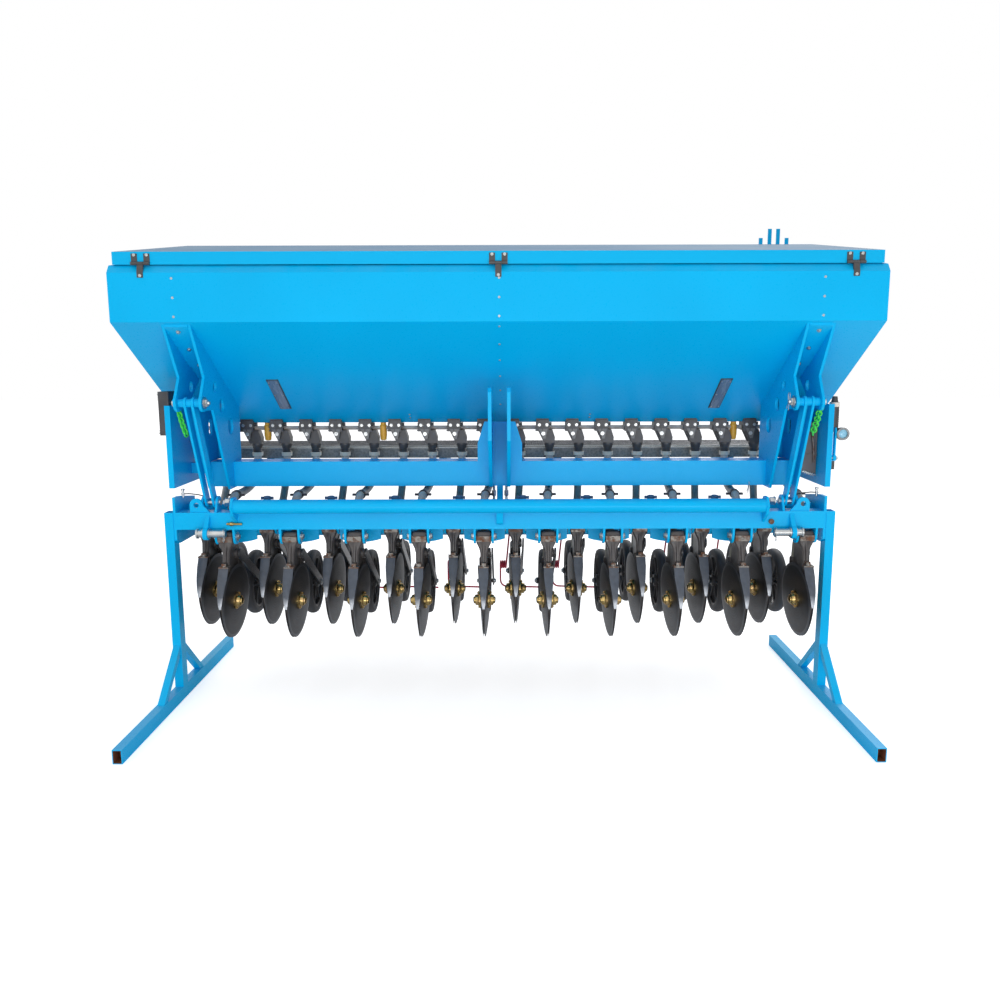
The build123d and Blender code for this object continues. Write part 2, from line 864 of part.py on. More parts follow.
# Lugs: a pair of plates under the beam or the rail for every coulter, and bowed apron
# plates under the rail between them.
row_sets = (
    (front_rows, front_pivot, lower_bottom),
    (rear_rows, rear_pivot, lower_bottom + rail_lift),
)
with BuildPart() as coulter_lugs:
    for rows, pivot, beam_under in row_sets:
        with BuildPart(mode=Mode.PRIVATE) as lug:
            with BuildSketch(Plane.YZ.offset(lug_gap / 2)):
                with BuildLine():
                    Polyline(
                        (pivot[0] - lower_beam / 2, beam_under),
                        (pivot[0] + lower_beam / 2, beam_under),
                        (pivot[0] + lug_radius, pivot[1]),
                        (pivot[0] - lug_radius, pivot[1]),
                        close=True,
                    )
                make_face()
                with Locations(pivot):
                    Circle(lug_radius)
                    Circle(pivot_pin + pivot_play, mode=Mode.SUBTRACT)
            extrude(amount=lug_plate)
            mirror(about=Plane.YZ)
        with Locations(*[(x, 0, 0) for x in rows]):
            add(lug.part)
    apron_back = rear_pivot[0] - lower_beam / 2 + apron_setback + apron_plate
    apron_top = lower_bottom + rail_lift
    lug_outer = lug_gap / 2 + lug_plate + apron_gap
    for x in rear_rows[:-1]:
        left, right = x + lug_outer, x + 2 * row_pitch - lug_outer
        middle = (left + right) / 2
        with BuildSketch(Plane.XZ.offset(-apron_back)):
            with BuildLine():
                Polyline(
                    (left, apron_bottom + apron_rise),
                    (left, apron_top),
                    (right, apron_top),
                    (right, apron_bottom + apron_rise),
                )
                ThreePointArc(
                    (left, apron_bottom + apron_rise),
                    (middle, apron_bottom),
                    (right, apron_bottom + apron_rise),
                )
            make_face()
        extrude(amount=apron_plate)
coulter_lugs.part.label = "coulter_lugs"
export_step(coulter_lugs.part, "parts/coulter_lugs.step")

# ---- coulters --------------------------------------------------------------------
# One coulter is drawn about its disc axle, then set out along both rows.
tilt = radians(disc_angle)
side_share = sin(radians(45))
disc_offset = disc_radius * sin(tilt) + disc_thickness / 2 + disc_gap / 2


def disc_plane(s):
    """Plane of one disc of a pair: the two close together low down at the front."""
    return Plane(
        origin=(s * disc_offset, 0, 0),
        x_dir=(0, 1, -1),
        z_dir=(s * cos(tilt), -side_share * sin(tilt), -side_share * sin(tilt)),
    )


pivot_local = (-axle_back, axle_drop)
pad_local = (30, head_low + 36)
wheel_local = (press_trail, -press_rise)
wheel_gap = max(press_width / 2 + press_clear, 2 * disc_radius * sin(tilt) + disc_thickness / 2)

# Arm: one casting with a thin blade between the discs, a broad head, the pivot
# barrel, the bosses that carry the discs, a pad for the press wheel bar and a socket
# for the seed tube.
with BuildPart() as arm:
    with BuildSketch(Plane.YZ.offset(-arm_blade / 2)):
        with BuildLine():
            Polyline(
                (-30, 8),
                (30, 8),
                (66, head_low - 36),
                (66, head_low + 14),
                (-74, head_low + 14),
                (-66, head_low - 36),
                close=True,
            )
        make_face()
        Circle(32)
    extrude(amount=arm_blade)
    with BuildSketch(Plane.YZ.offset(-arm_head / 2)):
        with BuildLine():
            Polyline(
                (head_front, head_low),
                (52, head_low),
                (56, head_low + 54),
                (pivot_local[0] + 28, pivot_local[1]),
                (pivot_local[0] - 28, pivot_local[1]),
                (head_front, head_nose),
                close=True,
            )
        make_face()
    extrude(amount=arm_head)
    with BuildSketch(Plane.YZ.offset(-lug_gap / 2 + pivot_play)):
        with Locations(pivot_local):
            Circle(lug_radius - 4)
    extrude(amount=lug_gap - 2 * pivot_play)
    with BuildSketch(Plane.YZ.offset(-lug_gap / 2)):
        with Locations(pivot_local):
            Circle(pivot_pin + pivot_play)
    extrude(amount=lug_gap, mode=Mode.SUBTRACT)
    with BuildSketch(Plane.YZ.offset(arm_head / 2 - 1)):
        with Locations(pad_local):
            Circle(24)
    extrude(amount=wheel_gap - arm_head / 2 + 1)
    for s in side:
        with BuildSketch(disc_plane(s).offset(-disc_thickness / 2)):
            Circle(22)
        extrude(amount=-9)
    with BuildSketch(Plane.XY.offset(socket_low)):
        with Locations((0, socket_y)):
            Circle(tube_radius + pivot_play + socket_wall)
        with Locations((0, socket_y - 26)):
            Rectangle(arm_blade, 20)
    extrude(amount=socket_top - socket_low)
    with BuildSketch(Plane.XY.offset(socket_low)):
        with Locations((0, socket_y)):
            Circle(tube_radius + pivot_play)
    extrude(amount=socket_top - socket_low, mode=Mode.SUBTRACT)

# Disc and hub of a pair, with the hub's flange against the disc's outer face.
with BuildPart() as disc_pair:
    for s in side:
        with BuildSketch(disc_plane(s).offset(-disc_thickness / 2)):
            Circle(disc_radius)
        extrude(amount=disc_thickness)

with BuildPart() as hub_pair:
    for s in side:
        with BuildSketch(disc_plane(s).offset(disc_thickness / 2)):
            Circle(hub_radius)
        extrude(amount=hub_flange)
        with BuildSketch(disc_plane(s).offset(disc_thickness / 2 + hub_flange)):
            Circle(hub_barrel)
        extrude(amount=hub_rise, taper=10)
        with BuildSketch(disc_plane(s).offset(disc_thickness / 2 + hub_flange + hub_rise)):
            Circle(hub_cap)
        extrude(amount=hub_cap_rise, taper=25)

# Shield: a tapering curved plate that closes the front of the V, with a tab up the
# front of the arm's head.
shield_inner = disc_radius + shield_clear
with BuildPart() as shield:
    with BuildSketch(Plane.YZ.offset(-shield_half)):
        Circle(shield_inner + shield_plate)
        Circle(shield_inner, mode=Mode.SUBTRACT)
        with BuildLine():
            Polyline(
                (head_front, shield_low),
                (-2 * disc_radius, shield_low),
                (-2 * disc_radius, 2 * disc_radius),
                (head_front, 2 * disc_radius),
                close=True,
            )
        make_face(mode=Mode.INTERSECT)
        with BuildLine():
            Polyline(
                (head_front, shield_inner - 22),
                (head_front, head_nose),
                (head_front - shield_plate, head_nose),
                (head_front - shield_plate, shield_inner - 22),
                close=True,
            )
        make_face()
    extrude(amount=2 * shield_half)
    with BuildSketch(Plane(origin=(0, -500, 0), x_dir=(1, 0, 0), z_dir=(0, -1, 0))):
        with BuildLine():
            Polyline(
                (-shield_half, head_nose + 4),
                (shield_half, head_nose + 4),
                (shield_half, disc_radius - 10),
                (shield_tip, 0),
                (-shield_tip, 0),
                (-shield_half, disc_radius - 10),
                close=True,
            )
        make_face()
    extrude(amount=-500, mode=Mode.INTERSECT)

# Press wheel bar: runs back beside the discs to the wheel's axle.
with BuildPart() as press_bar_piece:
    with BuildSketch(Plane.YZ.offset(wheel_gap)):
        add(eye_bar(Plane.XY, pad_local, wheel_local, 23))
    extrude(amount=press_bar)
    with BuildSketch(Plane.YZ.offset(wheel_gap)):
        with Locations(wheel_local):
            Circle(press_axle)
    extrude(amount=-(wheel_gap + press_hub + 1))
    with BuildSketch(Plane.YZ.offset(-press_hub - 1)):
        with Locations(wheel_local):
            RegularPolygon(press_axle + 7, 6)
    extrude(amount=-10)

with BuildPart() as pivot_pin_piece:
    with BuildSketch(Plane.YZ.offset(-lug_gap / 2 - lug_plate - 5)):
        with Locations(pivot_local):
            Circle(pivot_pin)
    extrude(amount=lug_gap + 2 * lug_plate + 10)

for name, piece in (
    ("coulter_arms", arm.part),
    ("coulter_discs", disc_pair.part),
    ("disc_hubs", hub_pair.part),
    ("disc_shields", shield.part),
    ("press_bars", press_bar_piece.part),
    ("pivot_pins", pivot_pin_piece.part),
):
    with BuildPart() as set_out:
        for rows, pivot, beam_under in row_sets:
            with Locations(*[(x, pivot[0] + axle_back, pivot[1] - axle_drop) for x in rows]):
                add(piece)
    set_out.part.label = name
    export_step(set_out.part, f"parts/{name}.step")

# Press wheels: hub, spoked web and tyre in one moulding, each free on its own axle.
with BuildPart() as press_wheel:
    with BuildSketch(Plane.XZ):
        with BuildLine():
            Polyline(
                (-press_width / 2, press_radius - 32),
                (-press_width / 2, press_radius - 12),
                (-press_width / 4, press_radius),
                (press_width / 4, press_radius),
                (press_width / 2, press_radius - 12),
                (press_width / 2, press_radius - 32),
                (6, press_radius - 40),
                (6, 34),
                (press_hub, 30),
                (press_hub, press_axle + press_play),
                (-press_hub, press_axle + press_play),
                (-press_hub, 30),
                (-6, 34),
                (-6, press_radius - 40),
                close=True,
            )
        make_face()
    revolve(axis=Axis.X)
    with BuildSketch(Plane.YZ.offset(-press_web)):
        with PolarLocations(0, spoke_count):
            with BuildLine():
                Polyline(
                    (spoke_inner, -spoke_inner / 4),
                    (spoke_outer, -spoke_outer / 3),
                    (spoke_outer, spoke_outer / 3),
                    (spoke_inner, spoke_inner / 4),
                    close=True,
                )
            make_face()
    extrude(amount=2 * press_web, mode=Mode.SUBTRACT)
for k, x in enumerate(all_rows):
    pivot = front_pivot if k % 2 else rear_pivot
    wheel_centre = (
        x,
        pivot[0] + axle_back + wheel_local[0],
        pivot[1] - axle_drop + wheel_local[1],
    )
    with BuildPart() as wheel:
        with Locations(wheel_centre):
            add(press_wheel.part)
    wheel.part.label = f"press_wheel_{k + 1:02d}"
    export_step(wheel.part, f"parts/press_wheel_{k + 1:02d}.step")

# ---- metering --------------------------------------------------------------------
# One unit under each outlet: a block that fits under the slope, a leaning neck and a
# round spout.  A six-sided shaft runs through them all.
block_bottom = shaft_z - 16
neck_bottom = shaft_z - 64
spout_bottom = shaft_z - 112
meter_back = meter_front + 92
with BuildPart() as meter:
    block_outline = [
        (meter_front, block_bottom),
        (meter_front, slope_z(meter_front)),
        (floor_front, floor_height),
        (meter_back, floor_height),
        (meter_back, block_bottom),
    ]
    block_start = meter_offset - meter_width / 2
    extrude(outline(Plane.YZ.offset(block_start), block_outline), amount=meter_width)
    with BuildSketch(Plane.XY.offset(block_bottom)):
        with Locations((meter_offset + 6, shaft_y + 2)):
            Rectangle(meter_width - 16, 78)
    with BuildSketch(Plane.XY.offset(neck_bottom)):
        with Locations((spout_offset, shaft_y)):
            Rectangle(44, 48)
    loft()
    with BuildSketch(Plane.XY.offset(spout_bottom)):
        with Locations((spout_offset, shaft_y)):
            Circle(spout_radius)
    extrude(amount=neck_bottom - spout_bottom + 6)
    with BuildSketch(Plane.YZ.offset(block_start)):
        with Locations((shaft_y, shaft_z)):
            Circle(shaft_corner + shaft_play)
    extrude(amount=meter_width, mode=Mode.SUBTRACT)
with BuildPart() as metering_units:
    with Locations(*[(x, 0, 0) for x in all_rows]):
        add(meter.part)
metering_units.part.label = "metering_units"
export_step(metering_units.part, "parts/metering_units.step")

with BuildPart() as metering_shaft:
    with BuildSketch(Plane.YZ.offset(-shaft_half)):
        with Locations((shaft_y, shaft_z)):
            RegularPolygon(shaft_flats / 2, 6, major_radius=False)
    extrude(amount=2 * shaft_half)
metering_shaft.part.label = "metering_shaft"
export_step(metering_shaft.part, "parts/metering_shaft.step")

# Seed tubes: from each spout down, over the rear rail for the front row and behind it
# for the rear row, into the coulter's socket.  Offsets from the row, then Y and Z.
tube_top = spout_bottom - tube_seat
front_socket_y = front_pivot[0] + axle_back + socket_y
rear_socket_y = rear_pivot[0] + axle_back + socket_y
front_route = [
    (spout_offset, shaft_y, tube_top),
    (spout_offset, shaft_y, 1065),
    (24, 280, 978),
    (12, 130, 952),
    (2, -10, 955),
    (0, -47, 900),
    (0, -45, 780),
    (0, front_socket_y, 705),
    (0, front_socket_y, front_pivot[1] - axle_drop + tube_end),
]
rear_route = [
    (spout_offset, shaft_y, tube_top),
    (spout_offset, shaft_y, 1050),
    (20, 290, 920),
    (8, 200, 795),
    (0, rear_socket_y, 715),
    (0, rear_socket_y, rear_pivot[1] - axle_drop + tube_end),
]


def tube_path(points):
    """Straight runs joined by tangent arcs, each as large as its two runs allow."""
    radii = []
    for before, here, after in zip(points, points[1:], points[2:]):
        run_in = Vector(*here) - Vector(*before)
        run_out = Vector(*after) - Vector(*here)
        half_turn = radians(run_in.get_angle(run_out)) / 2
        radii.append(0.45 * min(run_in.length, run_out.length) / tan(half_turn))
    with BuildLine() as path:
        FilletPolyline(*points, radius=radii)
    return path.line


with BuildPart() as seed_tubes:
    for rows, route in ((front_rows, front_route), (rear_rows, rear_route)):
        for x in rows:
            points = [(x + dx, y, z) for dx, y, z in route]
            path = tube_path(points)
            with BuildSketch(Plane(origin=points[0], z_dir=path % 0)):
                Circle(tube_radius)
            sweep(path=path)
seed_tubes.part.label = "seed_tubes"
export_step(seed_tubes.part, "parts/seed_tubes.step")

# ---- tray, walkway and harrow ------------------------------------------------------
with BuildPart() as calibration_tray:
    with BuildSketch(Plane.YZ.offset(-walk_half + 60)):
        with BuildLine():
            Polyline(
                (tray_front, tray_top),
                (tray_front, tray_top - tray_height),
                (tray_front + tray_depth, tray_top - tray_height),
                (tray_front + tray_depth, tray_top),
                (tray_front + tray_depth - 2, tray_top),
                (tray_front + tray_depth - 2, tray_top - tray_height + 2),
                (tray_front + 2, tray_top - tray_height + 2),
                (tray_front + 2, tray_top),
                close=True,
            )
        make_face()
    extrude(amount=2 * (walk_half - 60))
calibration_tray.part.label = "calibration_tray"
export_step(calibration_tray.part, "parts/calibration_tray.step")

walk_back = overall_depth / 2
with BuildPart() as walkway:
    with BuildSketch(Plane.YZ.offset(-walk_half)):
        with BuildLine():
            Polyline(
                (walk_front, walk_top - walk_depth),
                (walk_front, walk_top),
                (walk_back, walk_top),
                (walk_back, walk_top - walk_depth),
                (walk_back - 3, walk_top - walk_depth),
                (walk_back - 3, walk_top - 3),
                (walk_front + 3, walk_top - 3),
                (walk_front + 3, walk_top - walk_depth),
                close=True,
            )
        make_face()
    extrude(amount=2 * walk_half)
    with BuildSketch(Plane.XY.offset(walk_top)):
        with Locations((0, (walk_front + walk_back) / 2)):
            with GridLocations(slot_pitch, slot_rows, slot_count, 2):
                RectangleRounded(slot_length, slot_width, 12)
    extrude(amount=-3, mode=Mode.SUBTRACT)
walkway.part.label = "walkway"
export_step(walkway.part, "parts/walkway.step")

# Brackets carry the tray and the walkway from the back of the main beam.
bracket_top = walk_top - walk_depth
with BuildPart() as walkway_brackets:
    for x in walk_arm_x:
        with BuildSketch(Plane.YZ.offset(x - walk_arm / 2)):
            with BuildLine():
                Polyline(
                    (main_back, bracket_top - 60),
                    (main_back, bracket_top),
                    (walk_back - 8, bracket_top),
                    (walk_back - 8, bracket_top - 25),
                    (walk_front, bracket_top - 60),
                    close=True,
                )
            make_face()
        extrude(amount=walk_arm)
        with BuildSketch(Plane.XY.offset(bracket_top)):
            with Locations((x, tray_front + tray_depth / 2)):
                Rectangle(walk_arm, tray_depth - 20)
        extrude(amount=tray_top - tray_height - bracket_top)
walkway_brackets.part.label = "walkway_brackets"
export_step(walkway_brackets.part, "parts/walkway_brackets.step")

with BuildPart() as harrow_beam:
    section = tube_section(
        Plane.YZ.offset(-harrow_half), (harrow_y, harrow_z), harrow_bar, harrow_bar, 4
    )
    extrude(section, amount=2 * harrow_half)
harrow_beam.part.label = "harrow_beam"
export_step(harrow_beam.part, "parts/harrow_beam.step")

rail_back = rear_pivot[0] + lower_beam / 2
with BuildPart() as harrow_arms:
    for x in harrow_arm_x:
        arm_outline = [
            (rail_back, rail_top),
            (rail_back, rail_top - 60),
            (harrow_y - harrow_bar / 2 - 40, 660),
            (harrow_y - harrow_bar / 2, harrow_z - harrow_bar / 2),
            (harrow_y - harrow_bar / 2, harrow_z + harrow_bar / 2),
            (harrow_y - harrow_bar / 2 - 30, 720),
        ]
        extrude(outline(Plane.YZ.offset(x - 6), arm_outline), amount=12)
harrow_arms.part.label = "harrow_arms"
export_step(harrow_arms.part, "parts/harrow_arms.step")

# Tines: spring wire, coiled once below the bar and turned along the ground.
tine_rows = [(k - (tine_count - 1) / 2) * tine_pitch for k in range(tine_count)]
coil_z = 500
tine_y = harrow_y + harrow_bar / 2 + tine_radius
with BuildPart() as harrow_tines:
    for x in tine_rows:
        tine_points = [
            (x, tine_y, harrow_z + 20),
            (x, tine_y, coil_z),
            (x, tine_y, 330),
            (x + 30, tine_y + 20, 305),
            (x + 240, tine_y + 60, 300),
        ]
        with BuildLine() as path:
            Polyline(*tine_points)
        with BuildSketch(Plane(origin=tine_points[0], z_dir=(0, 0, -1))):
            Circle(tine_radius)
        sweep(path=path.line, transition=Transition.ROUND)
        with BuildSketch(Plane.YZ.offset(x - 22)):
            with Locations((tine_y, coil_z)):
                Circle(24)
                Circle(14, mode=Mode.SUBTRACT)
        extrude(amount=44)
harrow_tines.part.label = "harrow_tines"
export_step(harrow_tines.part, "parts/harrow_tines.step")

# ---- stands ----------------------------------------------------------------------
stand_x = frame_half + foot_width / 2
with BuildPart() as stand_feet:
    for s in side:
        section = tube_section(
            Plane.XZ.offset(-foot_front), (s * stand_x, foot_height / 2), foot_width, foot_height, tube_wall
        )
        extrude(section, amount=-foot_length)
stand_feet.part.label = "stand_feet"
export_step(stand_feet.part, "parts/stand_feet.step")

with BuildPart() as stand_legs:
    for s in side:
        section = tube_section(
            Plane.XY.offset(foot_height),
            (s * stand_x, leg_front + leg_depth / 2),
            foot_width,
            leg_depth,
            tube_wall,
        )
        extrude(section, amount=lower_top - foot_height)
stand_legs.part.label = "stand_legs"
export_step(stand_legs.part, "parts/stand_legs.step")

with BuildPart() as stand_braces:
    for s in side:
        for start, reach in ((leg_front, -1), (leg_front + leg_depth, 1)):
            brace_outline = [
                (start, brace_height),
                (start, brace_height - brace_width * 1.4),
                (start + reach * (brace_reach - brace_width * 1.4), foot_height),
                (start + reach * brace_reach, foot_height),
            ]
            plane = Plane.YZ.offset(s * stand_x - foot_width / 2 + 4)
            extrude(outline(plane, brace_outline), amount=foot_width - 8)
stand_braces.part.label = "stand_braces"
export_step(stand_braces.part, "parts/stand_braces.step")
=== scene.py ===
import json

import bpy
import numpy as np
from mathutils import Matrix, Vector


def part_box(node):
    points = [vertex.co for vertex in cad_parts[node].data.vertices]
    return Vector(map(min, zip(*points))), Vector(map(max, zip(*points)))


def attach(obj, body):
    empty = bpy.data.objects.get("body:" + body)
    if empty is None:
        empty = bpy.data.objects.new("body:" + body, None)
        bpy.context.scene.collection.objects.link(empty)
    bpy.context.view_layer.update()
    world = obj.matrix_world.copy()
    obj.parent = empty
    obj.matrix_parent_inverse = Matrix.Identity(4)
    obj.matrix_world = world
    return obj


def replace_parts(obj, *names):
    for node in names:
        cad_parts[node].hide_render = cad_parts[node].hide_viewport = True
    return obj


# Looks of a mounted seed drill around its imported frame, parked on its two stands.
# Metres: X across the machine, Y towards its rear, Z up from the ground.
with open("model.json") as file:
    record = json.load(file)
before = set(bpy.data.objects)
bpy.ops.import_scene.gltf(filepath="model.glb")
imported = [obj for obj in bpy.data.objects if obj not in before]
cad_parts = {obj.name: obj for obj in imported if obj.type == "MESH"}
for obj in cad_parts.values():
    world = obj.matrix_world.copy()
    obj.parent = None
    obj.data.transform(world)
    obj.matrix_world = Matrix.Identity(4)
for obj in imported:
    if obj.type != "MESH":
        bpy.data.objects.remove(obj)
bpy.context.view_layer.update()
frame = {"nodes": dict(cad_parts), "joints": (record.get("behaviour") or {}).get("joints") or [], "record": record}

# ---- studio ----
# A pale floor under a white sky, three large soft lamps, and a camera at a standing
# person's eye height in front of the machine, looking a little down at it.


def linear(hex_colour):
    """Linear RGBA of an sRGB hex colour: each channel c gives ((c + 0.055) / 1.055) ** 2.4."""
    srgb = np.array([int(hex_colour[k : k + 2], 16) for k in (1, 3, 5)]) / 255
    light = np.where(srgb <= 0.04045, srgb / 12.92, ((srgb + 0.055) / 1.055) ** 2.4)
    return (*light.tolist(), 1.0)


def node(tree, kind, inputs=None, **settings):
    """Adds a node to a tree.  An input that is a node, or a node's socket, is linked, a hex
    colour is turned to linear, and any other value is set."""
    made = tree.nodes.new("ShaderNode" + kind)
    for name, value in settings.items():
        setattr(made, name, value)
    for socket, value in (inputs or {}).items():
        if isinstance(value, bpy.types.Node):
            value = next(output for output in value.outputs if output.enabled)
        elif isinstance(value, str):
            value = linear(value)
        if isinstance(value, bpy.types.NodeSocket):
            tree.links.new(value, made.inputs[socket])
        else:
            made.inputs[socket].default_value = value
    return made


def new_finish(name):
    """An empty material, its node tree and the Object coordinates of the surface."""
    made = bpy.data.materials.new(name)
    made.use_nodes = True
    tree = made.node_tree
    tree.nodes.clear()
    return made, tree, node(tree, "TexCoord").outputs["Object"]


def mottled(tree, place, scale, detail, first, second):
    """A noise with so many cells a metre, and the colour between two that it picks."""
    noise = node(tree, "TexNoise", {"Vector": place, "Scale": scale, "Detail": detail})
    tones = {0: noise, 6: first, 7: second}
    return noise, node(tree, "Mix", tones, data_type="RGBA")


sharper_than = 40


def piece(name, parts, body="frame"):
    """Puts shapes into the scene as one mesh that rides on a body.  Each part is a shape,
    which is its corners and a list of face arrays, with the finish that it takes.  Its
    edges stay sharp where two faces turn by more than 40 degrees."""
    corners, loops, sizes, finish_of_face = [], [], [], []
    for number, ((points, faces), finish) in enumerate(parts):
        offset = sum(len(c) for c in corners)
        corners.append(np.asarray(points, float).reshape(-1, 3))
        for group in faces:
            loops.append((group + offset).ravel())
            sizes.append(np.full(len(group), group.shape[1]))
            finish_of_face.append(np.full(len(group), number))
    corners, loops, sizes = np.concatenate(corners), np.concatenate(loops), np.concatenate(sizes)
    mesh = bpy.data.meshes.new(name)
    mesh.vertices.add(len(corners))
    mesh.vertices.foreach_set("co", corners.astype(np.float32).ravel())
    mesh.loops.add(len(loops))
    mesh.loops.foreach_set("vertex_index", loops.astype(np.int32))
    mesh.polygons.add(len(sizes))
    starts = np.concatenate([[0], np.cumsum(sizes)[:-1]])
    mesh.polygons.foreach_set("loop_start", starts.astype(np.int32))
    for shape, finish in parts:
        mesh.materials.append(finish)
    mesh.update(calc_edges=True)
    mesh.polygons.foreach_set("material_index", np.concatenate(finish_of_face).astype(np.int32))
    mesh.shade_smooth()
    mesh.set_sharp_from_angle(angle=np.radians(sharper_than))
    made = bpy.data.objects.new(name, mesh)
    bpy.context.scene.collection.objects.link(made)
    if body:
        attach(made, body)
    return made


floor_half = 30.0
floor_corners = floor_half * np.array([[-1, -1, 0], [1, -1, 0], [1, 1, 0], [-1, 1, 0]])
studio_floor, tree, place = new_finish("matt white studio vinyl")
_, tone = mottled(tree, place, 6.0, 2.0, "#F0F0F0", "#F4F4F4")
vinyl = node(tree, "BsdfDiffuse", {"Color": tone})
seen = node(tree, "LightPath")
floor_glow = 0.58
lift = node(tree, "Math", {0: seen.outputs["Is Camera Ray"], 1: floor_glow}, operation="MULTIPLY")
glow = node(tree, "Emission", {"Strength": lift})
both = node(tree, "AddShader", {0: vinyl, 1: glow})
node(tree, "OutputMaterial", {"Surface": both})
floor = piece("floor", [((floor_corners, [np.array([[0, 1, 2, 3]])]), studio_floor)], body=None)

world = bpy.data.worlds.new("studio")
world.use_nodes = True
bpy.context.scene.world = world
tree = world.node_tree
tree.nodes.clear()
seen = node(tree, "LightPath")
mirrored = node(
    tree, "Math", {0: seen.outputs["Is Glossy Ray"], 1: seen.outputs["Is Transmission Ray"]},
    operation="MAXIMUM",
)
shown = node(tree, "Math", {0: mirrored, 1: seen.outputs["Is Camera Ray"]}, operation="MAXIMUM")
soft_sky = node(tree, "Background", {"Color": "#FBFCFF", "Strength": 0.74})
white_sky = node(tree, "Background", {"Color": "#FFFFFF", "Strength": 1.0})
sky = node(tree, "MixShader", {0: shown, 1: soft_sky, 2: white_sky})
node(tree, "OutputWorld", {"Surface": sky})

lamps = (
    # name, place, aimed at, width, height, watts
    ("key softbox", (-1.6, -5.0, 4.2), (0, 0, 1.1), 2.6, 1.3, 22),
    ("low strip", (0.4, -5.2, 0.45), (0, 0, 1.4), 5.0, 0.8, 88),
    ("rear fill", (2.8, 4.6, 4.0), (0, 0.2, 1.2), 3.0, 3.0, 120),
)
for name, spot, aim, width, height, watts in lamps:
    lamp = bpy.data.lights.new(name, "AREA")
    lamp.shape = "RECTANGLE"
    lamp.size, lamp.size_y, lamp.energy = width, height, watts
    stand = bpy.data.objects.new(name, lamp)
    stand.location = spot
    stand.rotation_euler = (Vector(aim) - Vector(spot)).to_track_quat("-Z", "Y").to_euler()
    bpy.context.scene.collection.objects.link(stand)

lens = bpy.data.cameras.new("camera")
lens.sensor_width = 36.0
lens.lens = 31.54
lens.shift_x = -0.006
camera = bpy.data.objects.new("camera", lens)
look_down, roll = np.radians(9.2), np.radians(-0.15)
stand_at = Matrix.Translation((0.029, -4.145, 1.60))
tip = Matrix.Rotation(np.pi / 2 - look_down, 4, "X")
camera.matrix_world = stand_at @ tip @ Matrix.Rotation(roll, 4, "Z")
bpy.context.scene.collection.objects.link(camera)
bpy.context.scene.camera = camera
bpy.context.scene.view_settings.view_transform = "Standard"

# ---- painted steelwork ----
# Hopper sheets, beams, plates and stands: mild steel, laser cut, folded and welded,
# then powder coated blue.  The coat is glossy with a faint orange peel and slow waves
# in the sheet, and dust dulls the faces that look up.
blue_coat, tree, place = new_finish("blue powder coat on steel")
wave, shade = mottled(tree, place, 2.2, 1.0, "#00AEE6", "#00BBF4")
# Orange peel has cells of about 1 mm; drawn at 7 mm, the finest that shows.
peel = node(tree, "TexNoise", {"Vector": place, "Scale": 140.0, "Detail": 2.0})
facing = node(tree, "NewGeometry")
upward = node(tree, "SeparateXYZ", {0: facing.outputs["Normal"]})
dust_patch = node(tree, "TexNoise", {"Vector": place, "Scale": 9.0, "Detail": 6.0})
dust = node(tree, "Math", {0: upward.outputs["Z"], 1: dust_patch}, operation="MULTIPLY", use_clamp=True)
dust_share = node(tree, "MapRange", {0: dust, 1: 0.25, 2: 0.7, 3: 0.0, 4: 0.10})
dusted = node(tree, "Mix", {0: dust_share, 6: shade, 7: "#A9B4BC"}, data_type="RGBA")
rough = node(tree, "MapRange", {0: peel, 1: 0.3, 2: 0.7, 3: 0.26, 4: 0.36})
waved = node(tree, "Bump", {"Height": wave, "Strength": 0.25, "Distance": 0.02})
peeled = node(tree, "Bump", {"Height": peel, "Strength": 0.06, "Distance": 0.001, "Normal": waved})
shader = node(
    tree, "BsdfPrincipled",
    {"Base Color": dusted, "Roughness": rough, "Normal": peeled, "IOR": 1.52, "Specular IOR Level": 0.13},
)
node(tree, "OutputMaterial", {0: shader})
painted = [row["node"] for row in frame["record"]["subparts"] if row["material_slot"] == "blue_paint"]


def paint(names, finish):
    """Gives CAD nodes a finish, leaving their meshes as they are."""
    for name in names:
        slots = frame["nodes"][name].data.materials
        slots.clear()
        slots.append(finish)


paint(painted, blue_coat)

# The lid's top is flat and looks up; its matt grey-blue is a painted dark reflection of the surroundings, not
# dust.
lid_blue, tree, place = new_finish("chalked blue powder coat under dust")
_, painted_reflection_grey = mottled(tree, place, 3.5, 8.0, "#7699B8", "#9BB0C1")
speck = node(tree, "TexNoise", {"Vector": place, "Scale": 90.0, "Detail": 4.0})
facing = node(tree, "NewGeometry")
upward = node(tree, "SeparateXYZ", {0: facing.outputs["Normal"]})
flat_top = node(tree, "MapRange", {0: upward.outputs["Z"], 1: 0.5, 2: 0.9})
# Faces that look up take the painted reflection grey in place of the blue coat.
lid_tone = node(tree, "Mix", {0: flat_top, 6: "#00B2E8", 7: painted_reflection_grey}, data_type="RGBA")
matt_top_rough = node(tree, "MapRange", {0: flat_top, 3: 0.3, 4: 0.85})
grit = node(tree, "Bump", {"Height": speck, "Strength": 0.15, "Distance": 0.001})
shader = node(
    tree, "BsdfPrincipled",
    {
        "Base Color": lid_tone, "Roughness": matt_top_rough, "Normal": grit, "IOR": 1.52,
        "Specular IOR Level": 0.15,
    },
)
node(tree, "OutputMaterial", {0: shader})
paint(["hopper_lid"], lid_blue)

# ---- hopper fasteners ----
# Small zinc plated hexagon bolts hold the inner frames: three columns of them show on
# the upright band and one down the slope, with a pair at each side of it.
band_front, band_bottom = -0.445, 1.750
hopper_floor_front, hopper_floor_height = 0.335, 1.278
slope_run = np.array([0.0, hopper_floor_front - band_front, hopper_floor_height - band_bottom])
slope_length = np.linalg.norm(slope_run)
slope_way = slope_run / slope_length
slope_out = np.array([0.0, slope_way[2], -slope_way[1]])


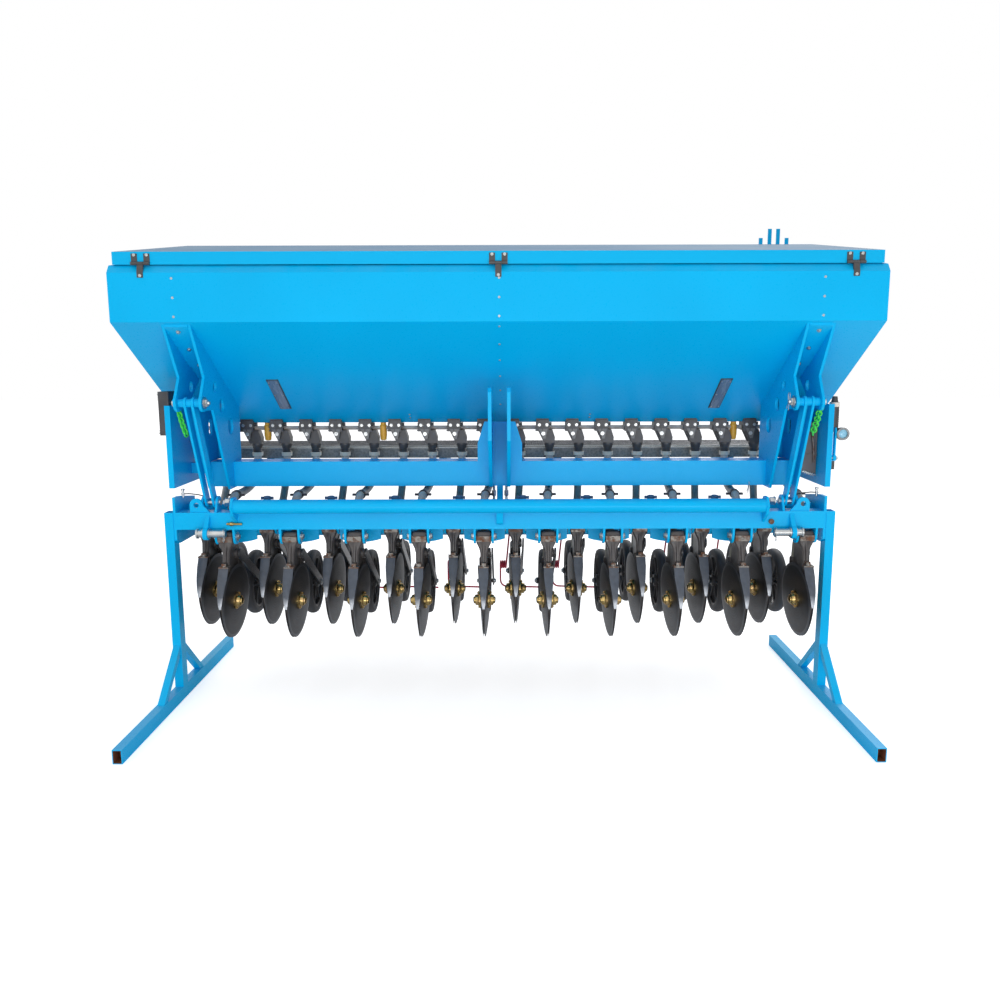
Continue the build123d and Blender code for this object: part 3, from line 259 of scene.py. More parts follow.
def across(axes):
    """Two unit vectors square to each axis, u and v, so that u x v is the axis."""
    axes = np.asarray(axes, float).reshape(-1, 3)
    axes = axes / np.linalg.norm(axes, axis=1)[:, None]
    helper = np.where(np.abs(axes[:, 2:]) > 0.9, [[1.0, 0, 0]], [[0, 0, 1.0]])
    u = np.cross(helper, axes)
    u = u / np.linalg.norm(u, axis=1)[:, None]
    return axes, u, np.cross(axes, u)


def wrapped(points, ring=False):
    """Closed bodies from outlines, as an array of copies, levels, corners and x, y, z: quads
    join each outline to the next, and the first and last are capped, or with ring joined."""
    index = np.arange(points.size // 3).reshape(points.shape[:3])
    here = index if ring else index[:, :-1]
    there = np.roll(index, -1, axis=1) if ring else index[:, 1:]
    around, beyond = np.roll(here, -1, axis=2), np.roll(there, -1, axis=2)
    faces = [np.stack([here, around, beyond, there], axis=-1).reshape(-1, 4)]
    if not ring:
        faces += [index[:, 0, ::-1], index[:, -1]]
    return points.reshape(-1, 3), faces


def turned(profile, centres, axes, sides, ring=False):
    """Turns a profile about an axis through each centre: its point (a, r) goes to
    centre + a * axis + r * (cos t * u + sin t * v) all round."""
    profile = np.asarray(profile, float)
    centres = np.asarray(centres, float).reshape(-1, 3)
    axes, u, v = across(np.broadcast_to(np.asarray(axes, float), centres.shape))
    t = np.arange(sides) * 2 * np.pi / sides
    spoke = np.cos(t)[None, :, None] * u[:, None] + np.sin(t)[None, :, None] * v[:, None]
    a, r = profile[:, 0], profile[:, 1]
    along = centres[:, None, None] + a[None, :, None, None] * axes[:, None, None]
    return wrapped(along + r[None, :, None, None] * spoke[:, None], ring)


def joined(*shapes):
    """Several shapes as one."""
    corners, faces, offset = [], [], 0
    for points, groups in shapes:
        corners.append(points)
        faces += [group + offset for group in groups]
        offset += len(points)
    return np.concatenate(corners), faces


def bolts(centres, axes, width, height, washer=1.3):
    """Hexagon heads with a slight chamfer, on washers: two turned profiles a place.  The
    width is across the flats, and the washer's width is so many times that."""
    corner_reach = width / 2 * 1.155
    head = [(0, corner_reach), (height * 0.85, corner_reach), (height, corner_reach * 0.86)]
    washer_reach = width / 2 * washer
    disc = [(0, washer_reach), (height * 0.22, washer_reach)]
    return joined(turned(head, centres, axes, 6), turned(disc, centres, axes, 16))


def patchy(name, cells, detail, first, second, grain=None, bump=None, **settings):
    """A finish whose colour drifts between two over a noise with so many cells a metre.  A
    finer grain, given as cells and detail, drives the bump, given as strength and depth,
    and any setting of four numbers, which maps it from the first two to the last two.
    Where there is no grain, the patches of colour drive them."""
    made, tree, place = new_finish(name)
    fine, tone = mottled(tree, place, cells, detail, first, second)
    if grain:
        fine = node(tree, "TexNoise", {"Vector": place, "Scale": grain[0], "Detail": grain[1]})
    for socket, value in settings.items():
        if isinstance(value, tuple):
            settings[socket] = node(tree, "MapRange", {0: fine, **dict(enumerate(value, 1))})
    if bump:
        raised = {"Height": fine, "Strength": bump[0], "Distance": bump[1]}
        settings["Normal"] = node(tree, "Bump", raised)
    shader = node(tree, "BsdfPrincipled", {"Base Color": tone, **settings})
    node(tree, "OutputMaterial", {0: shader})
    return made


# Plating crystals are far under a millimetre; drawn at 3 mm, the finest that shows.
zinc = patchy(
    "bright zinc plated steel", 24.0, 3.0, "#A9ADB0", "#D2D3D0", grain=(330.0, 3.0), Metallic=1.0,
    Roughness=(0.3, 0.7, 0.24, 0.42),
)

frame_columns = np.array([-1.345, 0.003, 1.345])
band_rows = np.array([1.927, 1.849, 1.772])
slope_rows = np.array([0.035, 0.174, 0.306, 0.447, 0.579, 0.719])
pair_columns, pair_rows = (-0.453, 0.451), (0.824, 0.857)
slope_origin = np.array([0.0, band_front, band_bottom])
band_bolts = [(x, band_front, z) for x in frame_columns for z in band_rows]
slope_bolts = [(frame_columns[1], *(slope_way * s)[1:]) for s in slope_rows]
slope_bolts += [(x, *(slope_way * s)[1:]) for x in pair_columns for s in pair_rows]
on_slope = np.array(slope_bolts) + slope_origin
hopper_bolts = joined(
    bolts(band_bolts, (0, -1, 0), 0.008, 0.004), bolts(on_slope, slope_out, 0.008, 0.004),
)
piece("hopper_bolts", [(hopper_bolts, zinc)])

# ---- level windows ----
# Clear polycarbonate strips over a slot in the slope, in a black rubber lip, each held by six
# small screws.  The pane is opaque: its blue-grey is seed dust behind it with painted shade of the dark slot.
window_x, window_start, window_width, window_length = 1.057, 0.478, 0.048, 0.276
pane, tree, place = new_finish("scuffed polycarbonate over a dark slot")
streak = node(tree, "Mapping", {"Vector": place, "Scale": (60.0, 9.0, 9.0)})
# The pane's tint is seed dust with painted shade of the slot behind it.
scuff, dust_and_shade_tint = mottled(tree, streak, 1.0, 5.0, "#3F5A78", "#7D93A6")
blur = node(tree, "MapRange", {0: scuff, 1: 0.3, 2: 0.7, 3: 0.12, 4: 0.34})
shader = node(tree, "BsdfPrincipled", {"Base Color": dust_and_shade_tint, "Roughness": blur, "IOR": 1.58})
node(tree, "OutputMaterial", {0: shader})
paint(["level_windows"], pane)

side_of = np.array([-1.0, 1.0])
screw_along = window_start + window_length * np.array([0.06, 0.5, 0.94])
screw_places = [
    slope_origin + slope_way * s + slope_out * 0.006 + np.array([x * window_x + w, 0, 0]) for x in side_of
    for s in screw_along for w in (-0.0185, 0.0185)
]
screws = bolts(screw_places, slope_out, 0.007, 0.003)
piece("window_screws", [(screws, zinc)])


def prism(outline, depth, origins, x_way=(1, 0, 0), y_way=(0, 0, 1)):
    """A flat outline given as (x, y), anticlockwise, carried depth along x_way x y_way from
    each origin: corners are origin + x * x_way + y * y_way, then the same plus the depth."""
    outline = np.asarray(outline, float)
    origins = np.asarray(origins, float).reshape(-1, 3)
    x_way, y_way = np.asarray(x_way, float), np.asarray(y_way, float)
    flat = outline[:, :1] * x_way + outline[:, 1:] * y_way
    both = np.stack([flat, flat + depth * np.cross(x_way, y_way)])
    return wrapped(origins[:, None, None] + both[None])


def block(low, high, origins=((0, 0, 0),)):
    """A square-edged block between two corners, repeated at each origin."""
    low, high = np.asarray(low, float), np.asarray(high, float)
    size = high - low
    outline = [(0, 0), (size[0], 0), (size[0], size[1]), (0, size[1])]
    return prism(outline, size[2], np.asarray(origins, float) + low, (1, 0, 0), (0, 1, 0))


# Mould grain is under a millimetre; drawn at 5 mm, the finest that shows.
rubber = patchy(
    "black moulded rubber", 12.0, 4.0, "#2B2B2E", "#4C4C4F", grain=(210.0, 4.0), bump=(0.2, 0.001),
    Roughness=0.62,
)
lip_half = np.array([window_width / 2 + 0.004, window_length / 2 + 0.004])
lip_outline = lip_half * np.array([[-1, -1], [1, -1], [1, 1], [-1, 1]])
lip_centres = [
    slope_origin + slope_way * (window_start + window_length / 2) + np.array([x * window_x, 0, 0])
    for x in side_of
]
lips = prism(lip_outline, 0.0025, lip_centres, (-1, 0, 0), slope_way)
piece("window_lips", [(lips, rubber)])

# ---- lid and hinges ----
# The lid is a folded sheet; three black moulded hinges join it to the hopper's shoulder,
# each leaf held by two bright screws.
# Spark-eroded mould texture of half a millimetre; drawn at 4 mm, the finest that shows.
plastic = patchy(
    "black glass filled nylon, moulded", 18.0, 3.0, "#2A2A2C", "#514F50", grain=(250.0, 3.0),
    bump=(0.15, 0.001), Roughness=(0.3, 0.7, 0.34, 0.5), IOR=1.53,
)
paint(["lid_hinge_bases", "lid_hinge_leaves"], plastic)
hinge_x = 1.472 * np.array([-1.0, 0.0, 1.0])
lid_front = -0.429
leaf_screws = [(x + w, lid_front - 0.003, 2.022) for x in hinge_x for w in (-0.026, 0.026)]
base_screws = [(x, band_front - 0.003, 1.938) for x in hinge_x]
lid_screws = bolts(leaf_screws, (0, -1, 0), 0.010, 0.004)
hopper_screws = bolts(base_screws, (0, -1, 0), 0.010, 0.004)
piece("lid_hinge_screws", [(lid_screws, zinc)], "lid")
piece("hopper_hinge_screws", [(hopper_screws, zinc)])

# ---- seed hoses ----
# Smooth grey PVC hose, 38 mm outside, pushed on each spout and hanging to the socket of
# its coulter; bleached pink-grey near the top and dusty lower down.
hose_width = 0.038
row_pitch = 0.150
rows = row_pitch * (np.arange(20) - 9.5)
rear_rows, front_rows = rows[0::2], rows[1::2]
front_route = [
    (0.028, 0.345, 1.1377), (0.028, 0.345, 1.065), (0.024, 0.280, 0.978), (0.012, 0.130, 0.952),
    (0.002, -0.010, 0.955), (0.000, -0.047, 0.900), (0.000, -0.045, 0.780), (0.000, -0.010, 0.705),
    (0.000, -0.010, 0.605),
]
rear_route = [
    (0.028, 0.345, 1.1377), (0.028, 0.345, 1.050), (0.020, 0.290, 0.920), (0.008, 0.200, 0.795),
    (0.000, 0.155, 0.715), (0.000, 0.155, 0.618),
]
hose_pvc, tree, place = new_finish("weathered grey PVC hose")
height = node(tree, "SeparateXYZ", {0: place})
up_hose = node(tree, "MapRange", {0: height.outputs["Z"], 1: 0.85, 2: 1.10, 3: 0.0, 4: 1.0})
faded = node(tree, "Mix", {0: up_hose, 6: "#8F8B80", 7: "#CDC6C2"}, data_type="RGBA")
dirt = node(tree, "TexNoise", {"Vector": place, "Scale": 35.0, "Detail": 6.0})
dirt_share = node(tree, "MapRange", {0: dirt, 1: 0.45, 2: 0.75, 3: 0.0, 4: 0.45})
dusty = node(tree, "Mix", {0: dirt_share, 6: faded, 7: "#6E6A60"}, data_type="RGBA")
shader = node(tree, "BsdfPrincipled", {"Base Color": dusty, "Roughness": 0.42, "IOR": 1.53})
node(tree, "OutputMaterial", {0: shader})


def hose(name, points):
    """A hose along a smooth spline that a route's points guide."""
    line = bpy.data.curves.new(name, "CURVE")
    line.dimensions = "3D"
    line.bevel_depth = hose_width / 2
    line.bevel_resolution = 5
    line.resolution_u = 8
    line.use_fill_caps = True
    spline = line.splines.new("NURBS")
    spline.points.add(len(points) - 1)
    spline.points.foreach_set("co", np.c_[points, np.ones(len(points))].ravel())
    spline.order_u = 3
    spline.use_endpoint_u = True
    line.materials.append(hose_pvc)
    made = bpy.data.objects.new(name, line)
    bpy.context.scene.collection.objects.link(made)
    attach(made, "frame")
    return made


for side_name, row_set, route, length in (
    ("front", front_rows, front_route, 0.80), ("rear", rear_rows, rear_route, 0.56),
):
    for number, x in enumerate(row_set):
        points = np.array(route) + [x, 0, 0]
        made = hose(f"seed_hose_{side_name}_{number + 1:02d}", points)
        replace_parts(made, "seed_tubes")

# ---- coulter arms ----
# Each arm is one dark grey-iron casting, sand cast and dip painted: a broad head at the
# pivot that runs into a narrow ribbed web.  A machined clamp plate shows rusty on the
# front of the head, and zinc nuts close the pivot pin.
cast, tree, place = new_finish("dip painted grey iron casting")
# Moulding sand leaves grains of about 1 mm; drawn at 5 mm, the finest that shows.
sand = node(tree, "TexNoise", {"Vector": place, "Scale": 190.0, "Detail": 5.0})
runs, iron = mottled(tree, place, 16.0, 5.0, "#2D2B2C", "#5C5654")
sandy = node(tree, "Bump", {"Height": sand, "Strength": 0.5, "Distance": 0.002})
rough = node(tree, "MapRange", {0: runs, 1: 0.3, 2: 0.7, 3: 0.32, 4: 0.5})
shader = node(
    tree, "BsdfPrincipled", {"Base Color": iron, "Roughness": rough, "Normal": sandy, "IOR": 1.5},
)
node(tree, "OutputMaterial", {0: shader})

bare_iron, tree, place = new_finish("machined iron with light rust")
bloom = node(tree, "TexNoise", {"Vector": place, "Scale": 45.0, "Detail": 6.0})
rust_share = node(tree, "MapRange", {0: bloom, 1: 0.42, 2: 0.62})
rusty = node(tree, "Mix", {0: rust_share, 6: "#77736E", 7: "#6A4630"}, data_type="RGBA")
shine = node(tree, "MapRange", {0: rust_share, 3: 0.75, 4: 0.0})
matt = node(tree, "MapRange", {0: rust_share, 3: 0.38, 4: 0.8})
shader = node(tree, "BsdfPrincipled", {"Base Color": rusty, "Metallic": shine, "Roughness": matt})
node(tree, "OutputMaterial", {0: shader})

axle_front, axle_rear = np.array([-0.100, 0.465]), np.array([0.065, 0.478])
axles = np.array([(x, *axle_front) for x in front_rows] + [(x, *axle_rear) for x in rear_rows])
pivots = axles + [0, -0.027, 0.315]


def stacked(sections, origins):
    """A closed body through a stack of outlines with equal numbers of corners, repeated at
    each origin: its points are origin + section."""
    return wrapped(np.asarray(origins, float)[:, None, None] + np.asarray(sections, float)[None])


arm_levels = np.array(
    [
        # height, half width, front, rear, rib half width, rib rise
        (0.020, 0.0085, -0.030, 0.030, 0.003, 0.000),
        (0.110, 0.0110, -0.054, 0.050, 0.004, 0.002),
        (0.172, 0.0155, -0.072, 0.066, 0.005, 0.004),
        (0.205, 0.0160, -0.070, 0.066, 0.006, 0.008),
        (0.240, 0.0165, -0.064, 0.060, 0.007, 0.009),
        (0.262, 0.0220, -0.060, 0.058, 0.008, 0.008),
        (0.284, 0.0330, -0.058, 0.030, 0.009, 0.004),
        (0.292, 0.0345, -0.058, 0.008, 0.010, 0.001),
        (0.330, 0.0345, -0.056, 0.004, 0.010, 0.001),
        (0.338, 0.0300, -0.050, -0.004, 0.008, 0.000),
    ]
)
rise, half, fore, aft, rib, rib_rise = arm_levels.T
corner = np.minimum(half * 0.35, 0.006)
arm_x = np.stack(
    [-half, corner - half, -rib, rib * -0.5, rib * 0.5, rib, half - corner, half, half, -half], 1,
)
bent = fore + corner
proud = fore - rib_rise
arm_y = np.stack([bent, fore, fore, proud, proud, fore, fore, bent, aft, aft], 1)
arm_outlines = np.stack([arm_x, arm_y, np.tile(rise[:, None], arm_x.shape[1])], -1)
barrels = turned([(-0.035, 0.021), (0.035, 0.021)], pivots, (1, 0, 0), 24)
bar_pads = turned(
    [(0.012, 0.023), (0.027, 0.023), (0.031, 0.019)], axles + [0, 0.030, 0.222], (1, 0, 0), 20,
)
socket_profile = [(0.135, 0.024), (0.150, 0.026), (0.180, 0.026), (0.186, 0.024)]
sockets = turned(socket_profile, axles + [0, 0.090, 0], (0, 0, 1), 24)
axle_bosses = turned([(-0.0115, 0.024), (0.0115, 0.024)], axles, (1, 0, 0), 24)
arm_iron = joined(stacked(arm_outlines, axles), barrels, bar_pads, sockets, axle_bosses)
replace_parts(piece("cast_arms", [(arm_iron, cast)]), "coulter_arms")

clamp_plates = joined(
    block((-0.033, -0.042, -0.020), (0.033, -0.033, 0.006), pivots),
    bolts(pivots + [0, -0.042, -0.007], (0, -1, 0), 0.012, 0.004),
)
piece("arm_clamp_plates", [(clamp_plates, bare_iron)])
nuts = joined(
    bolts(pivots + [0.047, 0, 0], (1, 0, 0), 0.024, 0.013, washer=1.9),
    bolts(pivots - [0.047, 0, 0], (-1, 0, 0), 0.024, 0.013, washer=1.9),
)
piece("pivot_nuts", [(nuts, zinc)])
paint(["pivot_pins"], zinc)

# ---- disc blades ----
# Boron steel blades, rolled and hardened, 4 mm thick.  The face keeps its dark oil
# scale with fine turning marks, and the rim is ground to a paler bevel 15 mm wide.
disc_radius, disc_half, bevel = 0.175, 0.002, 0.015
tilt = np.radians(5)
leaning = np.sin(tilt) * np.sqrt(0.5)
rim_gap, boot_gap = 0.00075, 0.0007
disc_offset = disc_radius * np.sin(tilt) + disc_half + rim_gap
disc_axes = np.array([(s * np.cos(tilt), -leaning, -leaning) for s in side_of])
disc_centres = np.concatenate([axles + [s * disc_offset, 0, 0] for s in side_of])
disc_ways = np.repeat(disc_axes, len(axles), axis=0)
disc_profile = np.array(
    [
        (-disc_half, 0.002), (-disc_half, 0.090), (-disc_half, disc_radius - bevel),
        (-0.0004, disc_radius), (0.0004, disc_radius), (disc_half, disc_radius - bevel),
        (disc_half, 0.090), (disc_half, 0.002),
    ]
)
disc_sides = 96
blade, tree, place = new_finish("hardened boron steel under oil scale")
reach = node(tree, "Attribute", attribute_name="radius").outputs["Fac"]
# Turning marks are 0.2 mm apart; drawn 3 mm apart, the closest that shows.
rings = node(tree, "Math", {0: reach, 1: 330.0}, operation="MULTIPLY")
ring_line = node(tree, "CombineXYZ", {0: rings})
marks = node(tree, "TexNoise", {"Vector": ring_line, "Scale": 1.0})
_, scaled = mottled(tree, place, 20.0, 6.0, "#2C2C2F", "#48484B")
ground = node(tree, "MapRange", {0: reach, 1: 0.1590, 2: 0.1605})
edge_tone = node(tree, "Mix", {0: ground, 6: scaled, 7: "#5F6064"}, data_type="RGBA")
gloss = node(tree, "MapRange", {0: marks, 1: 0.3, 2: 0.7, 3: 0.30, 4: 0.50})
turned_marks = node(tree, "Bump", {"Height": marks, "Strength": 0.2, "Distance": 0.0006})
shader = node(
    tree, "BsdfPrincipled",
    {"Base Color": edge_tone, "Metallic": 0.7, "Roughness": gloss, "Normal": turned_marks},
)
node(tree, "OutputMaterial", {0: shader})
discs = turned(disc_profile, disc_centres, disc_ways, disc_sides)
disc_blades = piece("disc_blades", [(discs, blade)])
from_axle = np.tile(np.repeat(disc_profile[:, 1], disc_sides), len(disc_centres))
radius = disc_blades.data.attributes.new("radius", "FLOAT", "POINT")
radius.data.foreach_set("value", from_axle.astype(np.float32))
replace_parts(disc_blades, "coulter_discs")

# ---- disc hubs ----
# Turned steel hubs with a bolted flange, a barrel and a pressed dust cap, all yellow
# passivated zinc, whose film shifts between straw, olive and pink.
yellow_zinc, tree, place = new_finish("yellow passivated zinc")
film, straw = mottled(tree, place, 38.0, 3.0, "#8C7A4E", "#D8B878")
pink_share = node(tree, "MapRange", {0: film, 1: 0.55, 2: 0.7, 3: 0.0, 4: 0.4})
passive = node(tree, "Mix", {0: pink_share, 6: straw, 7: "#C99A86"}, data_type="RGBA")
polish = node(tree, "MapRange", {0: film, 1: 0.3, 2: 0.7, 3: 0.22, 4: 0.38})
shader = node(tree, "BsdfPrincipled", {"Base Color": passive, "Metallic": 1.0, "Roughness": polish})
node(tree, "OutputMaterial", {0: shader})
hub_profile = [
    (0.002, 0.001), (0.002, 0.0415), (0.0085, 0.0415), (0.0098, 0.0400), (0.0098, 0.0285),
    (0.012, 0.0265), (0.0245, 0.0245), (0.026, 0.0225), (0.026, 0.0175), (0.031, 0.0165), (0.0345, 0.012),
    (0.035, 0.001),
]
ways, hub_u, hub_v = across(disc_ways)
bolt_turns = np.arange(6) * np.pi / 3
spokes = np.cos(bolt_turns)[:, None, None] * hub_u + np.sin(bolt_turns)[:, None, None] * hub_v
hub_bolts = (disc_centres + 0.0098 * ways)[None] + 0.0345 * spokes
hubs = joined(
    turned(hub_profile, disc_centres, disc_ways, 36),
    turned(
        [(0, 0.0046), (0.0035, 0.0046), (0.0042, 0.0038)], hub_bolts.reshape(-1, 3),
        np.tile(ways, (6, 1)), 6,
    ),
)
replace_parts(piece("hub_caps", [(hubs, yellow_zinc)]), "disc_hubs")

# ---- seed boots ----
# A cast iron boot fills the wedge between the two discs and drops the seed behind
# their front edges.  Its sides follow the discs 0.7 mm away.
boot_turns = np.radians(np.linspace(-182, -78, 22))
boot_reach = np.linspace(0.030, 0.162, 9)
boot_y = boot_reach[:, None] * np.cos(boot_turns)[None]
boot_z = boot_reach[:, None] * np.sin(boot_turns)[None]
disc_gap = disc_offset - disc_half - boot_gap + (boot_y + boot_z) * leaning / np.cos(tilt)
boot_half = np.maximum(disc_gap, 0.0006)
boot_sides = np.stack([np.stack([s * boot_half, boot_y, boot_z], -1) for s in side_of])
boot_outlines = np.concatenate([boot_sides[1], boot_sides[0, ::-1]]).swapaxes(0, 1)
piece("seed_boots", [(stacked(boot_outlines, axles), cast)])

# ---- shields ----
# Pressed steel shields over the front of the discs, painted blue-grey and scoured bare
# at their tips.  A small bright flange is welded across the top of each.
worn_paint, tree, place = new_finish("scoured blue-grey paint on pressed steel")
height = node(tree, "Attribute", attribute_name="height").outputs["Fac"]
chips, grey = mottled(tree, place, 42.0, 7.0, "#363B43", "#545B66")
ragged = node(tree, "Math", {0: chips, 1: 0.05, 2: height}, operation="MULTIPLY_ADD")
scoured = node(tree, "MapRange", {0: ragged, 1: 0.085, 2: 0.045})
bared = node(tree, "Mix", {0: scoured, 6: grey, 7: "#B4B8BE"}, data_type="RGBA")
bare_metal = node(tree, "MapRange", {0: scoured, 3: 0.0, 4: 0.45})
shader = node(tree, "BsdfPrincipled", {"Base Color": bared, "Metallic": bare_metal, "Roughness": 0.42})
node(tree, "OutputMaterial", {0: shader})

shield_low, shield_high, shield_gap, shield_wall = 0.006, 0.183, 0.187, 0.005
climb = np.linspace(0.0, 1.0, 17)
shield_z = shield_low + (shield_high - shield_low) * climb
# The face keeps outside the discs' rims, then leans back in a straight line.
straight_from, straight_reach, lean_back = 0.120, 0.143, 0.6
clear_of_rim = np.sqrt(np.maximum(shield_gap**2 - shield_z**2, 0))
straight = straight_reach - lean_back * (shield_z - straight_from)
shield_y = -np.where(shield_z < straight_from, clear_of_rim, np.maximum(clear_of_rim, straight))
shield_half = 0.0045 + 0.0175 * np.minimum(climb / 0.75, 1.0) ** 0.85
crown = np.array([-1.0, -0.92, -0.5, 0.0, 0.5, 0.92, 1.0])
bow = 0.004 * (1 - crown**2)
front_x = shield_half[:, None] * crown[None]
front_y = shield_y[:, None] - bow[None] * np.minimum(climb[:, None] * 2, 1)
front_z = shield_z[:, None] + 0 * front_x
front_face = np.stack([front_x, front_y, front_z], -1)
back_face = front_face + [0, shield_wall, 0]
shields = stacked(np.concatenate([front_face, back_face[:, ::-1]], axis=1), axles)
shield_plates = piece("shield_plates", [(shields, worn_paint)])
above_axle = np.tile(np.repeat(shield_z, 2 * len(crown)), len(axles))
height = shield_plates.data.attributes.new("height", "FLOAT", "POINT")
height.data.foreach_set("value", above_axle.astype(np.float32))
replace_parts(shield_plates, "disc_shields")
flange_y = shield_y[-1]
flanges = joined(
    block((-0.023, flange_y - 0.006, 0.180), (0.023, flange_y + 0.030, 0.186), axles),
    block((-0.010, flange_y + 0.004, 0.186), (0.010, flange_y + 0.030, 0.200), axles),
)
flange_bolts = bolts(axles + [0, flange_y + 0.010, 0.186], (0, 0, 1), 0.011, 0.007, washer=1.4)
piece("shield_flanges", [(flanges, bare_iron), (flange_bolts, zinc)])

# ---- press wheels ----
# Solid rubber tyres, crowned, on black nylon rims with six ribbed spokes, each turning
# on a bolt in a black painted steel bar.
bar_paint = patchy(
    "black paint on flat steel bar", 14.0, 5.0, "#1C1D20", "#3B3D42", grain=(120.0, 3.0),
    Roughness=(0.3, 0.7, 0.25, 0.4), IOR=1.5,
)
paint(["press_bars"], bar_paint)

tyre_profile = [
    (-0.025, 0.133), (-0.025, 0.149), (-0.022, 0.157), (-0.014, 0.1625), (-0.005, 0.1648),
    (0.005, 0.1648), (0.014, 0.1625), (0.022, 0.157), (0.025, 0.149), (0.025, 0.133), (0.019, 0.130),
    (-0.019, 0.130),
]
rim_profile = [(-0.017, 0.121), (-0.021, 0.131), (0.021, 0.131), (0.017, 0.121)]
wheel_hub_profile = [
    (-0.028, 0.0105), (-0.028, 0.025), (-0.025, 0.030), (0.025, 0.030), (0.028, 0.025), (0.028, 0.0105),
]
spoke_outline = [(0.028, -0.011), (0.123, -0.019), (0.123, 0.019), (0.028, 0.011)]
rib_outline = [(0.028, -0.002), (0.123, -0.002), (0.123, 0.002), (0.028, 0.002)]
wheel_joints = [joint for joint in frame["joints"] if joint["child"].startswith("press_wheel")]
for joint in wheel_joints:
    name, centre = joint["child"], np.array(joint["pos_m"])
    rim = [
        turned(rim_profile, centre, (1, 0, 0), 60, ring=True),
        turned(wheel_hub_profile, centre, (1, 0, 0), 30, ring=True),
    ]
    for turn in np.arange(6) * np.pi / 3:
        out = (0, np.cos(turn), np.sin(turn))
        along = (0, -np.sin(turn), np.cos(turn))
        rim.append(prism(spoke_outline, 0.010, centre - [0.005, 0, 0], out, along))
        rim.append(prism(rib_outline, 0.030, centre - [0.015, 0, 0], out, along))
    tyre = turned(tyre_profile, centre, (1, 0, 0), 72, ring=True)
    wheel = piece(name + "_tyre_and_rim", [(tyre, rubber), (joined(*rim), plastic)], name)
    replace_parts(wheel, name)
wheel_centres = np.array([joint["pos_m"] for joint in wheel_joints])
axle_nuts = joined(
    bolts(wheel_centres - [0.039, 0, 0], (-1, 0, 0), 0.019, 0.009, washer=1.5),
    bolts(wheel_centres + [0.042, 0, 0], (1, 0, 0), 0.019, 0.009, washer=1.5),
)
piece("press_wheel_nuts", [(axle_nuts, zinc)])

# ---- metering units ----
# Black moulded housings under the hopper's floor: a ribbed block with a chamfered
# corner, a grey shut-off slide, a neck that leans to one side and a ribbed spout with a
# white seat ring for the hose.
housing_places = np.array([(x, 0, 0) for x in rows])
block_low, floor_z = 1.234, 1.278
side_profile = [
    (0.301, block_low), (0.391, block_low), (0.391, floor_z), (0.335, floor_z), (0.301, 1.297),
]
front_profile = [
    (-0.043, block_low), (0.023, block_low), (0.023, 1.292), (-0.026, 1.292), (-0.043, 1.276),
]
slide_profile = [(-0.030, 1.246), (-0.006, 1.196), (0.006, 1.196), (0.016, 1.246)]
neck_profile = [(-0.034, 1.240), (-0.002, 1.174), (0.052, 1.172), (0.055, 1.200), (0.042, 1.240)]
housings = joined(
    prism(side_profile, 0.062, housing_places + [-0.041, 0, 0], (0, 1, 0), (0, 0, 1)),
    prism(front_profile, 0.007, housing_places + [0, 0.300, 0]),
    prism(neck_profile, 0.060, housing_places + [0, 0.376, 0]),
    block((-0.047, 0.294, 1.255), (0.027, 0.303, 1.261), housing_places),
    block((-0.047, 0.294, 1.236), (0.027, 0.303, 1.241), housing_places),
    block((-0.012, 0.291, 1.236), (-0.007, 0.303, 1.290), housing_places),
    turned(
        [(0, 0.008), (0.014, 0.008), (0.014, 0.005)], housing_places + [0.023, 0.320, 1.270], (1, 0, 0),
        12,
    ),
)
spout_profile = [
    (0.000, 0.0215), (0.006, 0.0235), (0.009, 0.0215), (0.015, 0.0235), (0.018, 0.0215), (0.024, 0.0240),
    (0.030, 0.0240), (0.034, 0.0270), (0.046, 0.0270), (0.052, 0.0230),
]
spout_low = housing_places + [0.028, 0.345, 1.127]
spouts = turned(spout_profile, spout_low, (0, 0, 1), 28)
slide_grey = patchy("grey acetal slide", 40.0, 5.0, "#565453", "#7C7976", Roughness=0.35)
slides = prism(slide_profile, 0.005, housing_places + [0, 0.297, 0])
metering = piece(
    "metering_housings", [(joined(housings, spouts), plastic), (slides, slide_grey)],
)
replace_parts(metering, "metering_units")

ring_white = patchy("white polyethylene seat ring", 60.0, 4.0, "#DCCDBB", "#FBF3E6", Roughness=0.4)
ring_profile = [(-0.0190, 0.0200), (-0.0190, 0.0262), (-0.0005, 0.0275), (-0.0005, 0.0200)]
rings = turned(ring_profile, spout_low, (0, 0, 1), 28, ring=True)
piece("spout_rings", [(rings, ring_white)])
housing_bolts = [(x + w, 0.2935, z) for x in rows for w, z in ((-0.026, 1.266), (0.012, 1.266))]
slide_bolts = [(x - 0.006, 0.292, 1.222) for x in rows]
small_bolts = joined(
    bolts(housing_bolts, (0, -1, 0), 0.008, 0.004, washer=1.9),
    bolts(slide_bolts, (0, -1, 0), 0.010, 0.005, washer=1.9),
)
piece("metering_bolts", [(small_bolts, zinc)])

# ---- metering shaft ----
# Drawn hexagon steel bar whose plating has gone cream with seed dust, carried by three
# yellow bearing posts from the hopper's floor.
dusty_bar = patchy(
    "dusty zinc plated hexagon bar", 30.0, 6.0, "#A89C92", "#D9CFC7", Metallic=(0.3, 0.7, 0.5, 0.15),
    Roughness=0.45,
)
paint(["metering_shaft"], dusty_bar)
post_yellow = patchy("yellow polyamide bearing post", 30.0, 4.0, "#D9962A", "#F4BC45", Roughness=0.42)
post_places = np.array([(-1.190, 0.345, 0), (-0.598, 0.345, 0), (1.194, 0.345, 0)])
post_profile = [
    (1.186, 0.010), (1.190, 0.0155), (1.205, 0.0165), (1.210, 0.0180), (1.262, 0.0180), (1.266, 0.0140),
    (1.277, 0.0140),
]
posts = turned(post_profile, post_places, (0, 0, 1), 24)
piece("bearing_posts", [(posts, post_yellow)])

